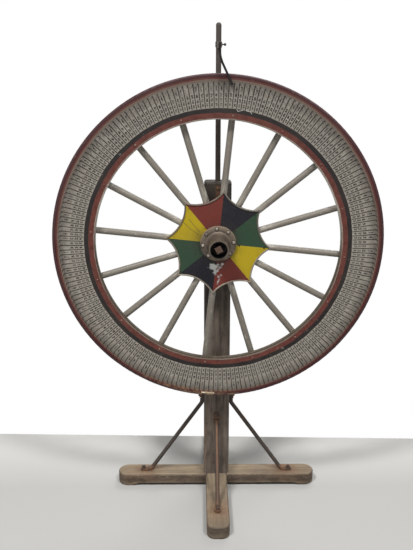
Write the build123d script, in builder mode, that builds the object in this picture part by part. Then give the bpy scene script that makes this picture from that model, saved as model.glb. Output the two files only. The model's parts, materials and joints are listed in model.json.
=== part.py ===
"""A prize wheel on a post stand: pegged ring on dowel spokes, star plate, iron hub, leather flapper."""

import os
from math import acos, atan2, cos, hypot, radians, sin, tan

from build123d import *

# Frame: X to the right as seen from the front, Y to the back, Z up, with the origin on the floor under
# the post's axis. All sizes are millimetres and degrees. Angles on the wheel run anticlockwise from X as
# seen from the front.

# Cross base
BEAM_LENGTH = 752
BEAM_WIDTH = 80
BEAM_HEIGHT = 46
SIDE_BEAM_END_RADIUS = 38
CROSS_BEAM_END_RADIUS = 30
BEAM_TOP_CHAMFER = 3
BEAM_FOOT_ROUND = 6
RELIEF_HEIGHT = 12
PAD_LENGTH = 50
RELIEF_SLOPE = 34
LAP_CLEARANCE = 0.2

# Post
POST_WIDTH = 94
POST_DEPTH = 60
POST_HEIGHT_ABOVE_AXLE = 196
POST_EDGE_CHAMFER = 7
POST_TOP_CHAMFER = 5
TENON_WIDTH = 52
TENON_DEPTH = 36
TENON_CLEARANCE = 0.2

# Iron braces and their fixings
BRACE_DIAMETER = 15
BRACE_BEND = 16
BRACE_EYE_WIDTH = 22
BRACE_EYE_THICKNESS = 6
BRACE_EYE_LENGTH = 42
SIDE_BRACE_HEIGHT = 364
FRONT_BRACE_HEIGHT = 296
BRACE_KNEE_DROP = 18
FOOT_BOLT_DIAMETER = 9.5
FOOT_HEAD_DIAMETER = 22
FOOT_HEAD_HEIGHT = 4.5
FOOT_HEAD_GAP = 2
STUD_DIAMETER = 10
BRACE_RIVET_HEAD = 16
BRACE_RIVET_HEAD_HEIGHT = 3
WASHER_DIAMETER = 24
WASHER_THICKNESS = 2
SQUARE_NUT = 18
SQUARE_NUT_HEIGHT = 9
FOOT_NUT = 13
FOOT_NUT_HEIGHT = 6.5
THREAD_PROUD = 4
BOLT_CLEARANCE = 0.25

# Wheel ring
AXLE_HEIGHT = 980
FACE_OFFSET = 122
WHEEL_RADIUS = 560.5
RIM_WALL = 8
RIM_FRONT_ROUND = 5
RIM_BACK_ROUND = 2
RIM_STRIPS = 4
RIM_JOINT = 0.02
RIM_FIRST_JOINT = 130
RING_WIDTH = 132.5
FACE_THICKNESS = 8
BACKING_LIP_WIDTH = 4
BACKING_THICKNESS = 16
BACKING_SEGMENTS = 8
BACKING_JOINT = 0.04
PIN_COUNT = 200
PIN_EDGE_GAP = 18.5
PIN_DIAMETER = 2.6
PIN_PROUD_LENGTH = 25
PIN_TIP_CHAMFER = 0.5
PIN_PHASE = 0.2
SMALL_CLEARANCE = 0.1

# Spokes, star and their nails
SPOKE_COUNT = 16
SPOKE_DIAMETER = 22.2
SPOKE_PHASE = 84.1
SPOKE_EDGE_GAP = 17.5
SPOKE_TENON_DIAMETER = 9
SPOKE_TENON_LENGTH = 15
NAIL_EDGE_GAP = 11
NAIL_DIAMETER = 3
NAIL_LENGTH = 31
NAIL_HEAD_DIAMETER = 7
NAIL_HEAD_HEIGHT = 1.8
STAR_POINTS = 8
STAR_RADIUS = 180
STAR_WAIST_RADIUS = 146
STAR_THICKNESS = 6
STAR_SCREW_INNER_RADIUS = 72
STAR_SCREW_OUTER_RADIUS = 157
STAR_SCREW_LENGTH = 20

# Hub
HUB_BLOCK_WALL = 1.5
FLANGE_EDGE_GAP = 3
FLANGE_THICKNESS = 8
FLANGE_BOLT_GAP = 4
FLANGE_BOLT_COUNT = 8
FLANGE_BOLT_DIAMETER = 8
FLANGE_BOLT_HEAD = 11
FLANGE_BOLT_HEAD_HEIGHT = 4.5
FLANGE_NUT = 13
FLANGE_NUT_HEIGHT = 7
NOSE_LENGTH = 82
NOSE_RADIUS = 33.5
NOSE_BORE_RADIUS = 28.5
NOSE_BORE_DEPTH = 44
NOSE_ROOT_RADIUS = 43
NOSE_ROOT_LENGTH = 26
BARREL_RADIUS = 26
BARREL_PROUD = 5
BACK_DISC_RADIUS = 135
BACK_DISC_THICKNESS = 10
REAR_PLATE_THICKNESS = 6
BUSH_RADIUS = 15
BUSH_LENGTH = 30

# Axle
AXLE_DIAMETER = 16
AXLE_HEAD = 22
AXLE_HEAD_HEIGHT = 11
AXLE_HEAD_TURN = 27
AXLE_HEAD_CHAMFER = 1
AXLE_HEAD_SETBACK = 1
AXLE_CLEARANCE = 0.15
SLEEVE_DIAMETER = 24
RUNNING_CLEARANCE = 0.06
END_FLOAT = 0.4
RETAINER_DIAMETER = 44
RETAINER_THICKNESS = 3
SPACER_DIAMETER = 40
POST_PLATE = 76
POST_PLATE_THICKNESS = 6
AXLE_NUT = 27
AXLE_NUT_HEIGHT = 13

# Pointer
ROD_DIAMETER = 18
ROD_LENGTH_ABOVE_COLLAR = 60
ROD_SOCKET = 120
ROD_BOLT_DEPTH = 21
ROD_BOLT_DIAMETER = 6
ROD_BOLT_HEAD = 11
ROD_BOLT_HEAD_HEIGHT = 4
COLLAR_HEIGHT_ABOVE_RIM = 77.5
COLLAR_HEIGHT = 18
COLLAR_DIAMETER = 22
COLLAR_CLEARANCE = 0.08
ARM_WIDTH = 12
FLAPPER_THICKNESS = 7
FLAPPER_WIDTH = 22
FLAPPER_FACE_GAP = 3
FLAPPER_ROOT_DROP = 2
FLAPPER_BEND_RADIUS = 108
FLAPPER_PIN_NUMBER = 47
FLAPPER_PIN_SHARE = 0.62
FLAPPER_DIP = 7
FLAPPER_TIP_ROUND = 4
KEEPER_THICKNESS = 2.5
RIVET_DIAMETER = 5
RIVET_SPACING = 10
RIVET_HEAD_DIAMETER = 8
RIVET_HEAD_HEIGHT = 1
THUMBSCREW_DIAMETER = 4
THUMBSCREW_BOSS_DIAMETER = 9
THUMBSCREW_BOSS_LENGTH = 1.5
THUMBSCREW_NECK = 4.7
THUMBSCREW_KNOB_DIAMETER = 9
THUMBSCREW_KNOB_LENGTH = 7.8
THUMBSCREW_KNOB_ROUND = 2.6
THUMBSCREW_TIP_GAP = 0.3

# Stations along Y, worked out from the front of the ring to the back of the post
face_front = -FACE_OFFSET
face_back = face_front + FACE_THICKNESS
ring_back = face_back + BACKING_THICKNESS
spoke_axis = ring_back + SPOKE_DIAMETER / 2
spoke_back = ring_back + SPOKE_DIAMETER
star_front = ring_back - STAR_THICKNESS
flange_front = star_front - FLANGE_THICKNESS
nose_mouth = flange_front - NOSE_LENGTH
nose_floor = nose_mouth + NOSE_BORE_DEPTH
disc_back = spoke_back + BACK_DISC_THICKNESS
plate_back = disc_back + REAR_PLATE_THICKNESS
barrel_end = plate_back + BARREL_PROUD
post_front = -POST_DEPTH / 2
post_back = POST_DEPTH / 2
post_plate_front = post_front - POST_PLATE_THICKNESS
post_plate_back = post_back + POST_PLATE_THICKNESS
axle_head_front = nose_mouth + AXLE_HEAD_SETBACK
axle_head_back = axle_head_front + AXLE_HEAD_HEIGHT
retainer_back = nose_floor - END_FLOAT
retainer_front = retainer_back - RETAINER_THICKNESS

# Radii on the wheel, from the ring's outer edge inwards and from the nose's root outwards
ring_outer_radius = WHEEL_RADIUS - RIM_WALL
face_inner_radius = ring_outer_radius - RING_WIDTH
backing_inner_radius = face_inner_radius - BACKING_LIP_WIDTH
pin_circle_radius = ring_outer_radius - PIN_EDGE_GAP
spoke_outer_radius = ring_outer_radius - SPOKE_EDGE_GAP
nail_circle_radius = face_inner_radius + NAIL_EDGE_GAP
flange_bolt_circle_radius = NOSE_ROOT_RADIUS + FLANGE_BOLT_GAP + FLANGE_BOLT_HEAD / 2
flange_radius = flange_bolt_circle_radius + FLANGE_BOLT_HEAD / 2 + FLANGE_EDGE_GAP
hub_block_radius = flange_bolt_circle_radius + FLANGE_BOLT_DIAMETER / 2 + HUB_BLOCK_WALL
flange_bolt_phase = SPOKE_PHASE + 180 / SPOKE_COUNT

# Levels above the floor, and the foot bolts' reach, which keeps their heads clear of the end pads
post_top = AXLE_HEIGHT + POST_HEIGHT_ABOVE_AXLE
rod_bolt_height = post_top - ROD_BOLT_DEPTH
collar_base = AXLE_HEIGHT + WHEEL_RADIUS + COLLAR_HEIGHT_ABOVE_RIM
rod_top = collar_base + COLLAR_HEIGHT + ROD_LENGTH_ABOVE_COLLAR
foot_bolt_reach = BEAM_LENGTH / 2 - PAD_LENGTH - RELIEF_SLOPE - FOOT_HEAD_GAP - FOOT_HEAD_DIAMETER / 2

os.makedirs("parts", exist_ok=True)


def save(part, label):
    """Label a finished piece and write it under its own name."""
    part.label = label
    export_step(part, f"parts/{label}.step")


def wheel_plane(y):
    """A plane across the wheel's axis at station y that faces the front, measured from the axis."""
    return Plane(origin=(0, y, AXLE_HEIGHT), x_dir=(1, 0, 0), z_dir=(0, -1, 0))


def front_plane(y):
    """An upright plane at station y that faces the front, measured from the floor."""
    return Plane(origin=(0, y, 0), x_dir=(1, 0, 0), z_dir=(0, -1, 0))


def on_wheel(radius, angle, y):
    """The point at a radius and angle on the wheel, at station y."""
    return (radius * cos(radians(angle)), y, AXLE_HEIGHT + radius * sin(radians(angle)))


def flange_bolt_places():
    """The places of the flange bolts, each midway between two spokes."""
    return PolarLocations(flange_bolt_circle_radius, FLANGE_BOLT_COUNT, start_angle=flange_bolt_phase)


def turned_ring(outer_radius, inner_radius, front, back):
    """A plain round piece on the axle, from its front station to its back station."""
    with BuildPart() as ring:
        with BuildSketch(wheel_plane(back)):
            Circle(outer_radius)
            Circle(inner_radius, mode=Mode.SUBTRACT)
        extrude(amount=back - front)
    return ring.part


# Cross base: two beams on end pads, half-lapped where they cross, with the post's mortise through the lap


def beam(turn, end_radius, notch_low, notch_high, mortise_length, mortise_width):
    """One beam of the cross, drawn along X and turned about the post's axis."""
    relief_half = BEAM_LENGTH / 2 - PAD_LENGTH
    with BuildPart() as timber:
        with BuildSketch():
            RectangleRounded(BEAM_LENGTH, BEAM_WIDTH, end_radius)
        extrude(amount=BEAM_HEIGHT)
        chamfer(timber.faces().sort_by(Axis.Z)[-1].edges(), length=BEAM_TOP_CHAMFER)
        fillet(timber.faces().sort_by(Axis.Z)[0].edges(), radius=BEAM_FOOT_ROUND)
        with BuildSketch(front_plane(BEAM_WIDTH / 2)):
            with BuildLine():
                Line((-relief_half, 0), (relief_half, 0))
                Spline(
                    (relief_half, 0),
                    (relief_half - RELIEF_SLOPE, RELIEF_HEIGHT),
                    tangents=[(-1, 0.16), (-1, 0)],
                )
                Line((relief_half - RELIEF_SLOPE, RELIEF_HEIGHT), (RELIEF_SLOPE - relief_half, RELIEF_HEIGHT))
                Spline(
                    (RELIEF_SLOPE - relief_half, RELIEF_HEIGHT),
                    (-relief_half, 0),
                    tangents=[(-1, 0), (-1, -0.16)],
                )
            make_face()
        extrude(amount=BEAM_WIDTH, mode=Mode.SUBTRACT)
        with Locations((0, 0, (notch_low + notch_high) / 2)):
            Box(
                BEAM_WIDTH + 2 * LAP_CLEARANCE,
                BEAM_WIDTH,
                notch_high - notch_low,
                mode=Mode.SUBTRACT,
            )
        with Locations((0, 0, BEAM_HEIGHT / 2)):
            Box(mortise_length, mortise_width, BEAM_HEIGHT, mode=Mode.SUBTRACT)
        with Locations((foot_bolt_reach, 0, BEAM_HEIGHT / 2), (-foot_bolt_reach, 0, BEAM_HEIGHT / 2)):
            Cylinder(FOOT_BOLT_DIAMETER / 2 + BOLT_CLEARANCE, BEAM_HEIGHT, mode=Mode.SUBTRACT)
    return timber.part.rotate(Axis.Z, turn)


lap_height = (BEAM_HEIGHT + RELIEF_HEIGHT) / 2
mortise_x = TENON_WIDTH + 2 * TENON_CLEARANCE
mortise_y = TENON_DEPTH + 2 * TENON_CLEARANCE
save(beam(0, SIDE_BEAM_END_RADIUS, lap_height, BEAM_HEIGHT, mortise_x, mortise_y), "side_beam")
save(beam(90, CROSS_BEAM_END_RADIUS, 0, lap_height, mortise_y, mortise_x), "cross_beam")

# Post: chamfered timber on a tenon, bored for the axle, the brace studs and the pointer rod
with BuildPart() as post:
    with BuildSketch(Plane.XY.offset(BEAM_HEIGHT)) as post_section:
        Rectangle(POST_WIDTH, POST_DEPTH)
        chamfer(post_section.vertices(), length=POST_EDGE_CHAMFER)
    extrude(amount=post_top - BEAM_HEIGHT)
    chamfer(post.faces().sort_by(Axis.Z)[-1].edges(), length=POST_TOP_CHAMFER)
    with BuildSketch(Plane.XY.offset(BEAM_HEIGHT)):
        Rectangle(TENON_WIDTH, TENON_DEPTH)
    extrude(amount=RELIEF_HEIGHT - BEAM_HEIGHT)
    with Locations((0, 0, AXLE_HEIGHT)):
        Cylinder(
            AXLE_DIAMETER / 2 + AXLE_CLEARANCE, POST_DEPTH, rotation=(90, 0, 0), mode=Mode.SUBTRACT
        )
    with Locations((0, 0, SIDE_BRACE_HEIGHT)):
        Cylinder(
            STUD_DIAMETER / 2 + BOLT_CLEARANCE, POST_WIDTH, rotation=(0, 90, 0), mode=Mode.SUBTRACT
        )
    with Locations((0, 0, FRONT_BRACE_HEIGHT)):
        Cylinder(
            STUD_DIAMETER / 2 + BOLT_CLEARANCE, POST_DEPTH, rotation=(90, 0, 0), mode=Mode.SUBTRACT
        )
    with Locations((0, 0, post_top - ROD_SOCKET / 2)):
        Cylinder(ROD_DIAMETER / 2 + SMALL_CLEARANCE, ROD_SOCKET, mode=Mode.SUBTRACT)
    with Locations((0, 0, rod_bolt_height)):
        Cylinder(
            ROD_BOLT_DIAMETER / 2 + SMALL_CLEARANCE, POST_DEPTH, rotation=(90, 0, 0), mode=Mode.SUBTRACT
        )
save(post.part, "post")

# Braces: round iron from a flat eye on the post, down and out to a flat eye on the beam


def brace(turn, post_half, eye_height):
    """One brace, drawn towards +X and turned about the post's axis."""
    stand_off = post_half + BRACE_DIAMETER / 2 + SMALL_CLEARANCE
    foot_level = BEAM_HEIGHT + BRACE_DIAMETER / 2 + SMALL_CLEARANCE
    eye_drop = BRACE_EYE_LENGTH - BRACE_EYE_WIDTH
    with BuildPart() as rod:
        with BuildLine() as run:
            FilletPolyline(
                (stand_off, 0, eye_height - WASHER_DIAMETER / 2 - THREAD_PROUD),
                (stand_off, 0, eye_height - WASHER_DIAMETER / 2 - BRACE_KNEE_DROP),
                (foot_bolt_reach - WASHER_DIAMETER / 2 - BRACE_KNEE_DROP, 0, foot_level),
                (foot_bolt_reach - WASHER_DIAMETER / 2 - THREAD_PROUD, 0, foot_level),
                radius=BRACE_BEND,
            )
        with BuildSketch(Plane(origin=run.line @ 0, z_dir=run.line % 0)):
            Circle(BRACE_DIAMETER / 2)
        sweep()
        with BuildSketch(Plane(origin=(post_half, 0, eye_height), x_dir=(0, 1, 0), z_dir=(1, 0, 0))):
            with Locations((0, -eye_drop / 2)):
                SlotOverall(BRACE_EYE_LENGTH, BRACE_EYE_WIDTH, rotation=90)
            Circle(STUD_DIAMETER / 2 + BOLT_CLEARANCE, mode=Mode.SUBTRACT)
        extrude(amount=BRACE_EYE_THICKNESS)
        with BuildSketch(Plane(origin=(foot_bolt_reach, 0, BEAM_HEIGHT))):
            with Locations((-eye_drop / 2, 0)):
                SlotOverall(BRACE_EYE_LENGTH, BRACE_EYE_WIDTH)
            Circle(FOOT_BOLT_DIAMETER / 2 + BOLT_CLEARANCE, mode=Mode.SUBTRACT)
        extrude(amount=BRACE_EYE_THICKNESS)
    return rod.part.rotate(Axis.Z, turn)


save(brace(0, POST_WIDTH / 2, SIDE_BRACE_HEIGHT), "brace_right")
save(brace(180, POST_WIDTH / 2, SIDE_BRACE_HEIGHT), "brace_left")
save(brace(270, POST_DEPTH / 2, FRONT_BRACE_HEIGHT), "brace_front")
save(brace(90, POST_DEPTH / 2, FRONT_BRACE_HEIGHT), "brace_rear")

# Faces that the brace fixings seat on: straight out of the post's four sides
side_seats = [(side, POST_WIDTH / 2 + BRACE_EYE_THICKNESS, SIDE_BRACE_HEIGHT) for side in (0, 180)]
front_seats = [(side, POST_DEPTH / 2 + BRACE_EYE_THICKNESS, FRONT_BRACE_HEIGHT) for side in (90, 270)]


def seat_plane(side, reach, height):
    """The plane of a seat that faces away from the post, side degrees round from X."""
    outward = (cos(radians(side)), sin(radians(side)), 0)
    return Plane(
        origin=(reach * outward[0], reach * outward[1], height), x_dir=(0, 0, 1), z_dir=outward
    )


with BuildPart() as brace_washers:
    for side, reach, height in side_seats:
        with BuildSketch(seat_plane(side, reach, height)):
            Circle(WASHER_DIAMETER / 2)
            Circle(STUD_DIAMETER / 2 + BOLT_CLEARANCE, mode=Mode.SUBTRACT)
        extrude(amount=WASHER_THICKNESS)
save(brace_washers.part, "brace_washers")

with BuildPart() as brace_nuts:
    for side, reach, height in side_seats:
        with BuildSketch(seat_plane(side, reach + WASHER_THICKNESS, height)):
            Rectangle(SQUARE_NUT, SQUARE_NUT, rotation=12)
            Circle(STUD_DIAMETER / 2 + SMALL_CLEARANCE, mode=Mode.SUBTRACT)
        extrude(amount=SQUARE_NUT_HEIGHT)
save(brace_nuts.part, "brace_nuts")

stud_proud = BRACE_EYE_THICKNESS + WASHER_THICKNESS + SQUARE_NUT_HEIGHT + THREAD_PROUD
with BuildPart() as brace_studs:
    with Locations((0, 0, SIDE_BRACE_HEIGHT)):
        Cylinder(STUD_DIAMETER / 2, POST_WIDTH + 2 * stud_proud, rotation=(0, 90, 0))
    with Locations((0, 0, FRONT_BRACE_HEIGHT)):
        Cylinder(STUD_DIAMETER / 2, POST_DEPTH + 2 * BRACE_EYE_THICKNESS, rotation=(90, 0, 0))
    for side, reach, height in front_seats:
        with BuildSketch(seat_plane(side, reach, height)):
            Circle(BRACE_RIVET_HEAD / 2)
        extrude(amount=BRACE_RIVET_HEAD_HEIGHT, taper=30)
save(brace_studs.part, "brace_studs")

# Foot bolts: round heads up in the relief, washers and square nuts on the brace eyes
foot_seat = BEAM_HEIGHT + BRACE_EYE_THICKNESS
foot_nut_top = foot_seat + WASHER_THICKNESS + FOOT_NUT_HEIGHT
with BuildPart() as foot_bolts:
    with BuildSketch(Plane.XY.offset(RELIEF_HEIGHT)):
        with PolarLocations(foot_bolt_reach, 4):
            Circle(FOOT_HEAD_DIAMETER / 2)
    extrude(amount=-FOOT_HEAD_HEIGHT, taper=30)
    with BuildSketch(Plane.XY.offset(RELIEF_HEIGHT - FOOT_HEAD_HEIGHT / 2)):
        with PolarLocations(foot_bolt_reach, 4):
            Circle(FOOT_BOLT_DIAMETER / 2)
    extrude(amount=foot_nut_top + THREAD_PROUD - RELIEF_HEIGHT + FOOT_HEAD_HEIGHT / 2)
save(foot_bolts.part, "foot_bolts")

with BuildPart() as foot_washers:
    with BuildSketch(Plane.XY.offset(foot_seat)):
        with PolarLocations(foot_bolt_reach, 4):
            Circle(WASHER_DIAMETER / 2)
            Circle(FOOT_BOLT_DIAMETER / 2 + BOLT_CLEARANCE, mode=Mode.SUBTRACT)
    extrude(amount=WASHER_THICKNESS)
save(foot_washers.part, "foot_washers")

with BuildPart() as foot_nuts:
    with BuildSketch(Plane.XY.offset(foot_seat + WASHER_THICKNESS)):
        with PolarLocations(foot_bolt_reach, 4, start_angle=0):
            Rectangle(FOOT_NUT, FOOT_NUT, rotation=20)
            Circle(FOOT_BOLT_DIAMETER / 2 + SMALL_CLEARANCE, mode=Mode.SUBTRACT)
    extrude(amount=FOOT_NUT_HEIGHT)
save(foot_nuts.part, "foot_nuts")

# Axle: a square-headed bolt from inside the hub's nose, through a sleeve and the post, to a nut behind
axle_end = post_plate_back + AXLE_NUT_HEIGHT + THREAD_PROUD
with BuildPart() as axle_bolt:
    with BuildSketch(wheel_plane(axle_head_back)):
        Rectangle(AXLE_HEAD, AXLE_HEAD, rotation=AXLE_HEAD_TURN)
    extrude(amount=AXLE_HEAD_HEIGHT)
    chamfer(axle_bolt.faces().sort_by(Axis.Y)[0].edges(), length=AXLE_HEAD_CHAMFER)
    with BuildSketch(wheel_plane(axle_end)):
        Circle(AXLE_DIAMETER / 2)
    extrude(amount=axle_end - axle_head_back)
save(axle_bolt.part, "axle_bolt")

axle_hole = AXLE_DIAMETER / 2 + AXLE_CLEARANCE
with BuildPart() as axle_nut:
    with BuildSketch(wheel_plane(post_plate_back + AXLE_NUT_HEIGHT)):
        Rectangle(AXLE_NUT, AXLE_NUT, rotation=AXLE_HEAD_TURN)
        Circle(axle_hole, mode=Mode.SUBTRACT)
    extrude(amount=AXLE_NUT_HEIGHT)
save(axle_nut.part, "axle_nut")

with BuildPart() as post_plates:
    for station in (post_front, post_plate_back):
        with BuildSketch(wheel_plane(station)):
            Rectangle(POST_PLATE, POST_PLATE)
            Circle(axle_hole, mode=Mode.SUBTRACT)
        extrude(amount=POST_PLATE_THICKNESS)
save(post_plates.part, "post_plates")

sleeve_radius = SLEEVE_DIAMETER / 2
save(turned_ring(sleeve_radius, axle_hole, axle_head_back, retainer_front), "nose_spacer")
save(turned_ring(RETAINER_DIAMETER / 2, axle_hole, retainer_front, retainer_back), "retaining_washer")
save(turned_ring(sleeve_radius, axle_hole, retainer_back, post_plate_front), "axle_sleeve")
save(
    turned_ring(
        SPACER_DIAMETER / 2, sleeve_radius + SMALL_CLEARANCE, barrel_end + END_FLOAT, post_plate_front
    ),
    "rear_spacer",
)

# Hub: one casting, with a nose in front of its flange and a barrel behind it, and a bronze bush at each end
with BuildPart() as hub:
    with BuildSketch(Plane(origin=(0, 0, AXLE_HEIGHT), x_dir=(0, 1, 0), z_dir=(1, 0, 0))):
        with BuildLine():
            Polyline(
                (nose_mouth, NOSE_BORE_RADIUS),
                (nose_mouth, NOSE_RADIUS),
                (flange_front - NOSE_ROOT_LENGTH, NOSE_RADIUS),
            )
            Spline(
                (flange_front - NOSE_ROOT_LENGTH, NOSE_RADIUS),
                (flange_front, NOSE_ROOT_RADIUS),
                tangents=((1, 0), (1, 2)),
            )
            Polyline(
                (flange_front, NOSE_ROOT_RADIUS),
                (flange_front, flange_radius),
                (star_front, flange_radius),
                (star_front, BARREL_RADIUS),
                (barrel_end, BARREL_RADIUS),
                (barrel_end, BUSH_RADIUS),
                (nose_floor, BUSH_RADIUS),
                (nose_floor, NOSE_BORE_RADIUS),
                (nose_mouth, NOSE_BORE_RADIUS),
            )
        make_face()
    revolve(axis=Axis((0, 0, AXLE_HEIGHT), (0, 1, 0)))
    with BuildSketch(wheel_plane(star_front)):
        with flange_bolt_places():
            Circle(FLANGE_BOLT_DIAMETER / 2 + SMALL_CLEARANCE)
    extrude(amount=FLANGE_THICKNESS, mode=Mode.SUBTRACT)
save(hub.part, "hub")

bush_bore = sleeve_radius + RUNNING_CLEARANCE
save(turned_ring(BUSH_RADIUS, bush_bore, nose_floor, nose_floor + BUSH_LENGTH), "front_bush")
save(turned_ring(BUSH_RADIUS, bush_bore, barrel_end - BUSH_LENGTH, barrel_end), "rear_bush")


def bolted_disc(radius, front, back):
    """A round plate on the hub's barrel, drilled for the flange bolts."""
    with BuildPart() as disc:
        with BuildSketch(wheel_plane(back)):
            Circle(radius)
            Circle(BARREL_RADIUS + SMALL_CLEARANCE, mode=Mode.SUBTRACT)
            with flange_bolt_places():
                Circle(FLANGE_BOLT_DIAMETER / 2 + SMALL_CLEARANCE, mode=Mode.SUBTRACT)
        extrude(amount=back - front)
    return disc.part


save(bolted_disc(BACK_DISC_RADIUS, spoke_back, disc_back), "back_disc")
save(bolted_disc(flange_radius, disc_back, plate_back), "hub_rear_plate")

# Hub block: the core between star and back disc, with a radial socket for each spoke's tenon
spoke_angles = [SPOKE_PHASE + 360 / SPOKE_COUNT * index for index in range(SPOKE_COUNT)]


def spoke_plane(angle, radius):
    """The plane across a spoke at a radius, with its normal outwards along the spoke."""
    outward = (cos(radians(angle)), 0, sin(radians(angle)))
    return Plane(origin=on_wheel(radius, angle, spoke_axis), x_dir=(0, -1, 0), z_dir=outward)


tenon_inner_radius = hub_block_radius - SPOKE_TENON_LENGTH
with BuildPart() as hub_block:
    add(bolted_disc(hub_block_radius, ring_back, spoke_back))
    for angle in spoke_angles:
        with BuildSketch(spoke_plane(angle, tenon_inner_radius)):
            Circle(SPOKE_TENON_DIAMETER / 2 + SMALL_CLEARANCE)
        extrude(amount=2 * SPOKE_TENON_LENGTH, mode=Mode.SUBTRACT)
save(hub_block.part, "hub_block")

with BuildPart() as flange_bolts:
    with BuildSketch(wheel_plane(plate_back + FLANGE_NUT_HEIGHT + THREAD_PROUD)):
        with flange_bolt_places():
            Circle(FLANGE_BOLT_DIAMETER / 2)
    extrude(amount=plate_back + FLANGE_NUT_HEIGHT + THREAD_PROUD - flange_front)
    with BuildSketch(wheel_plane(flange_front)):
        with flange_bolt_places():
            Circle(FLANGE_BOLT_HEAD / 2)
    extrude(amount=FLANGE_BOLT_HEAD_HEIGHT, taper=25)
save(flange_bolts.part, "flange_bolts")

with BuildPart() as flange_nuts:
    with BuildSketch(wheel_plane(plate_back + FLANGE_NUT_HEIGHT)):
        with flange_bolt_places():
            RegularPolygon(FLANGE_NUT / 2, 6, major_radius=False)
            Circle(FLANGE_BOLT_DIAMETER / 2 + SMALL_CLEARANCE, mode=Mode.SUBTRACT)
    extrude(amount=FLANGE_NUT_HEIGHT)
save(flange_nuts.part, "flange_nuts")

# Star plate: eight points on every other spoke, with hollow edges between them
star_angles = [SPOKE_PHASE + 360 / STAR_POINTS * index for index in range(STAR_POINTS)]
star_step = radians(360 / STAR_POINTS)


def star_point(radius, turn):
    """A point of the star's outline, turn radians round from the first point."""
    first = radians(SPOKE_PHASE)
    return (radius * cos(first + turn), radius * sin(first + turn))


with BuildPart() as star_plate:
    with BuildSketch(wheel_plane(ring_back)):
        with BuildLine():
            for index in range(STAR_POINTS):
                ThreePointArc(
                    star_point(STAR_RADIUS, index * star_step),
                    star_point(STAR_WAIST_RADIUS, (index + 0.5) * star_step),
                    star_point(STAR_RADIUS, (index + 1) * star_step),
                )
        make_face()
        Circle(BARREL_RADIUS + SMALL_CLEARANCE, mode=Mode.SUBTRACT)
        with flange_bolt_places():
            Circle(FLANGE_BOLT_DIAMETER / 2 + SMALL_CLEARANCE, mode=Mode.SUBTRACT)
        for screw_radius in (STAR_SCREW_INNER_RADIUS, STAR_SCREW_OUTER_RADIUS):
            with PolarLocations(screw_radius, STAR_POINTS, start_angle=SPOKE_PHASE):
                Circle(NAIL_DIAMETER / 2 + SMALL_CLEARANCE, mode=Mode.SUBTRACT)
    extrude(amount=STAR_THICKNESS)
save(star_plate.part, "star_plate")


def nails(circles, count, seat, length):
    """Round-headed nails on one or more circles of the wheel, driven in from a seat."""
    with BuildPart() as set_of_nails:
        for radius in circles:
            with BuildSketch(wheel_plane(seat + length)):
                with PolarLocations(radius, count, start_angle=SPOKE_PHASE):
                    Circle(NAIL_DIAMETER / 2)
            extrude(amount=length)
            with BuildSketch(wheel_plane(seat)):
                with PolarLocations(radius, count, start_angle=SPOKE_PHASE):
                    Circle(NAIL_HEAD_DIAMETER / 2)
            extrude(amount=NAIL_HEAD_HEIGHT, taper=35)
    return set_of_nails.part


star_screw_circles = (STAR_SCREW_INNER_RADIUS, STAR_SCREW_OUTER_RADIUS)
save(nails(star_screw_circles, STAR_POINTS, star_front, STAR_SCREW_LENGTH), "star_screws")
save(nails((nail_circle_radius,), SPOKE_COUNT, face_front, NAIL_LENGTH), "spoke_nails")

# Spokes: round dowels from their tenons in the hub block to behind the ring, bored for the nails
nail_hole = NAIL_DIAMETER / 2 + SMALL_CLEARANCE
for number, angle in enumerate(spoke_angles, start=1):
    with BuildPart() as spoke:
        with BuildSketch(spoke_plane(angle, hub_block_radius)):
            Circle(SPOKE_DIAMETER / 2)
        extrude(amount=spoke_outer_radius - hub_block_radius)
        with BuildSketch(spoke_plane(angle, tenon_inner_radius)):
            Circle(SPOKE_TENON_DIAMETER / 2)
        extrude(amount=SPOKE_TENON_LENGTH)
        with BuildSketch(wheel_plane(face_front + NAIL_LENGTH)):
            with PolarLocations(nail_circle_radius, 1, start_angle=angle):
                Circle(nail_hole)
        extrude(amount=NAIL_LENGTH, mode=Mode.SUBTRACT)
        if angle in star_angles:
            for screw_radius in star_screw_circles:
                with BuildSketch(wheel_plane(star_front + STAR_SCREW_LENGTH)):
                    with PolarLocations(screw_radius, 1, start_angle=angle):
                        Circle(nail_hole)
                extrude(amount=STAR_SCREW_LENGTH, mode=Mode.SUBTRACT)
    save(spoke.part, f"spoke_{number:02d}")

# Ring: a painted face board on a backing of glued segments, with a rounded rim band
# bent round both in strips
with BuildPart() as face_ring:
    with BuildSketch(wheel_plane(face_back)):
        Circle(ring_outer_radius)
        Circle(face_inner_radius, mode=Mode.SUBTRACT)
        with PolarLocations(pin_circle_radius, PIN_COUNT, start_angle=PIN_PHASE):
            Circle(PIN_DIAMETER / 2 + SMALL_CLEARANCE / 2, mode=Mode.SUBTRACT)
        with PolarLocations(nail_circle_radius, SPOKE_COUNT, start_angle=SPOKE_PHASE):
            Circle(nail_hole, mode=Mode.SUBTRACT)
    extrude(amount=FACE_THICKNESS)
save(face_ring.part, "face_ring")

segment_pitch = 360 / BACKING_SEGMENTS
segment_sweep = segment_pitch - BACKING_JOINT
first_joint = SPOKE_PHASE + 180 / SPOKE_COUNT
with BuildPart() as backing_segments:
    for index in range(BACKING_SEGMENTS):
        start = first_joint + index * segment_pitch
        with BuildSketch(wheel_plane(ring_back)):
            with BuildLine():
                outer = CenterArc((0, 0), ring_outer_radius, start, segment_sweep)
                inner = CenterArc((0, 0), backing_inner_radius, start, segment_sweep)
                Line(outer @ 0, inner @ 0)
                Line(outer @ 1, inner @ 1)
            make_face()
            with PolarLocations(nail_circle_radius, SPOKE_COUNT, start_angle=SPOKE_PHASE):
                Circle(nail_hole, mode=Mode.SUBTRACT)
        extrude(amount=BACKING_THICKNESS)
save(backing_segments.part, "backing_segments")

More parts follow.
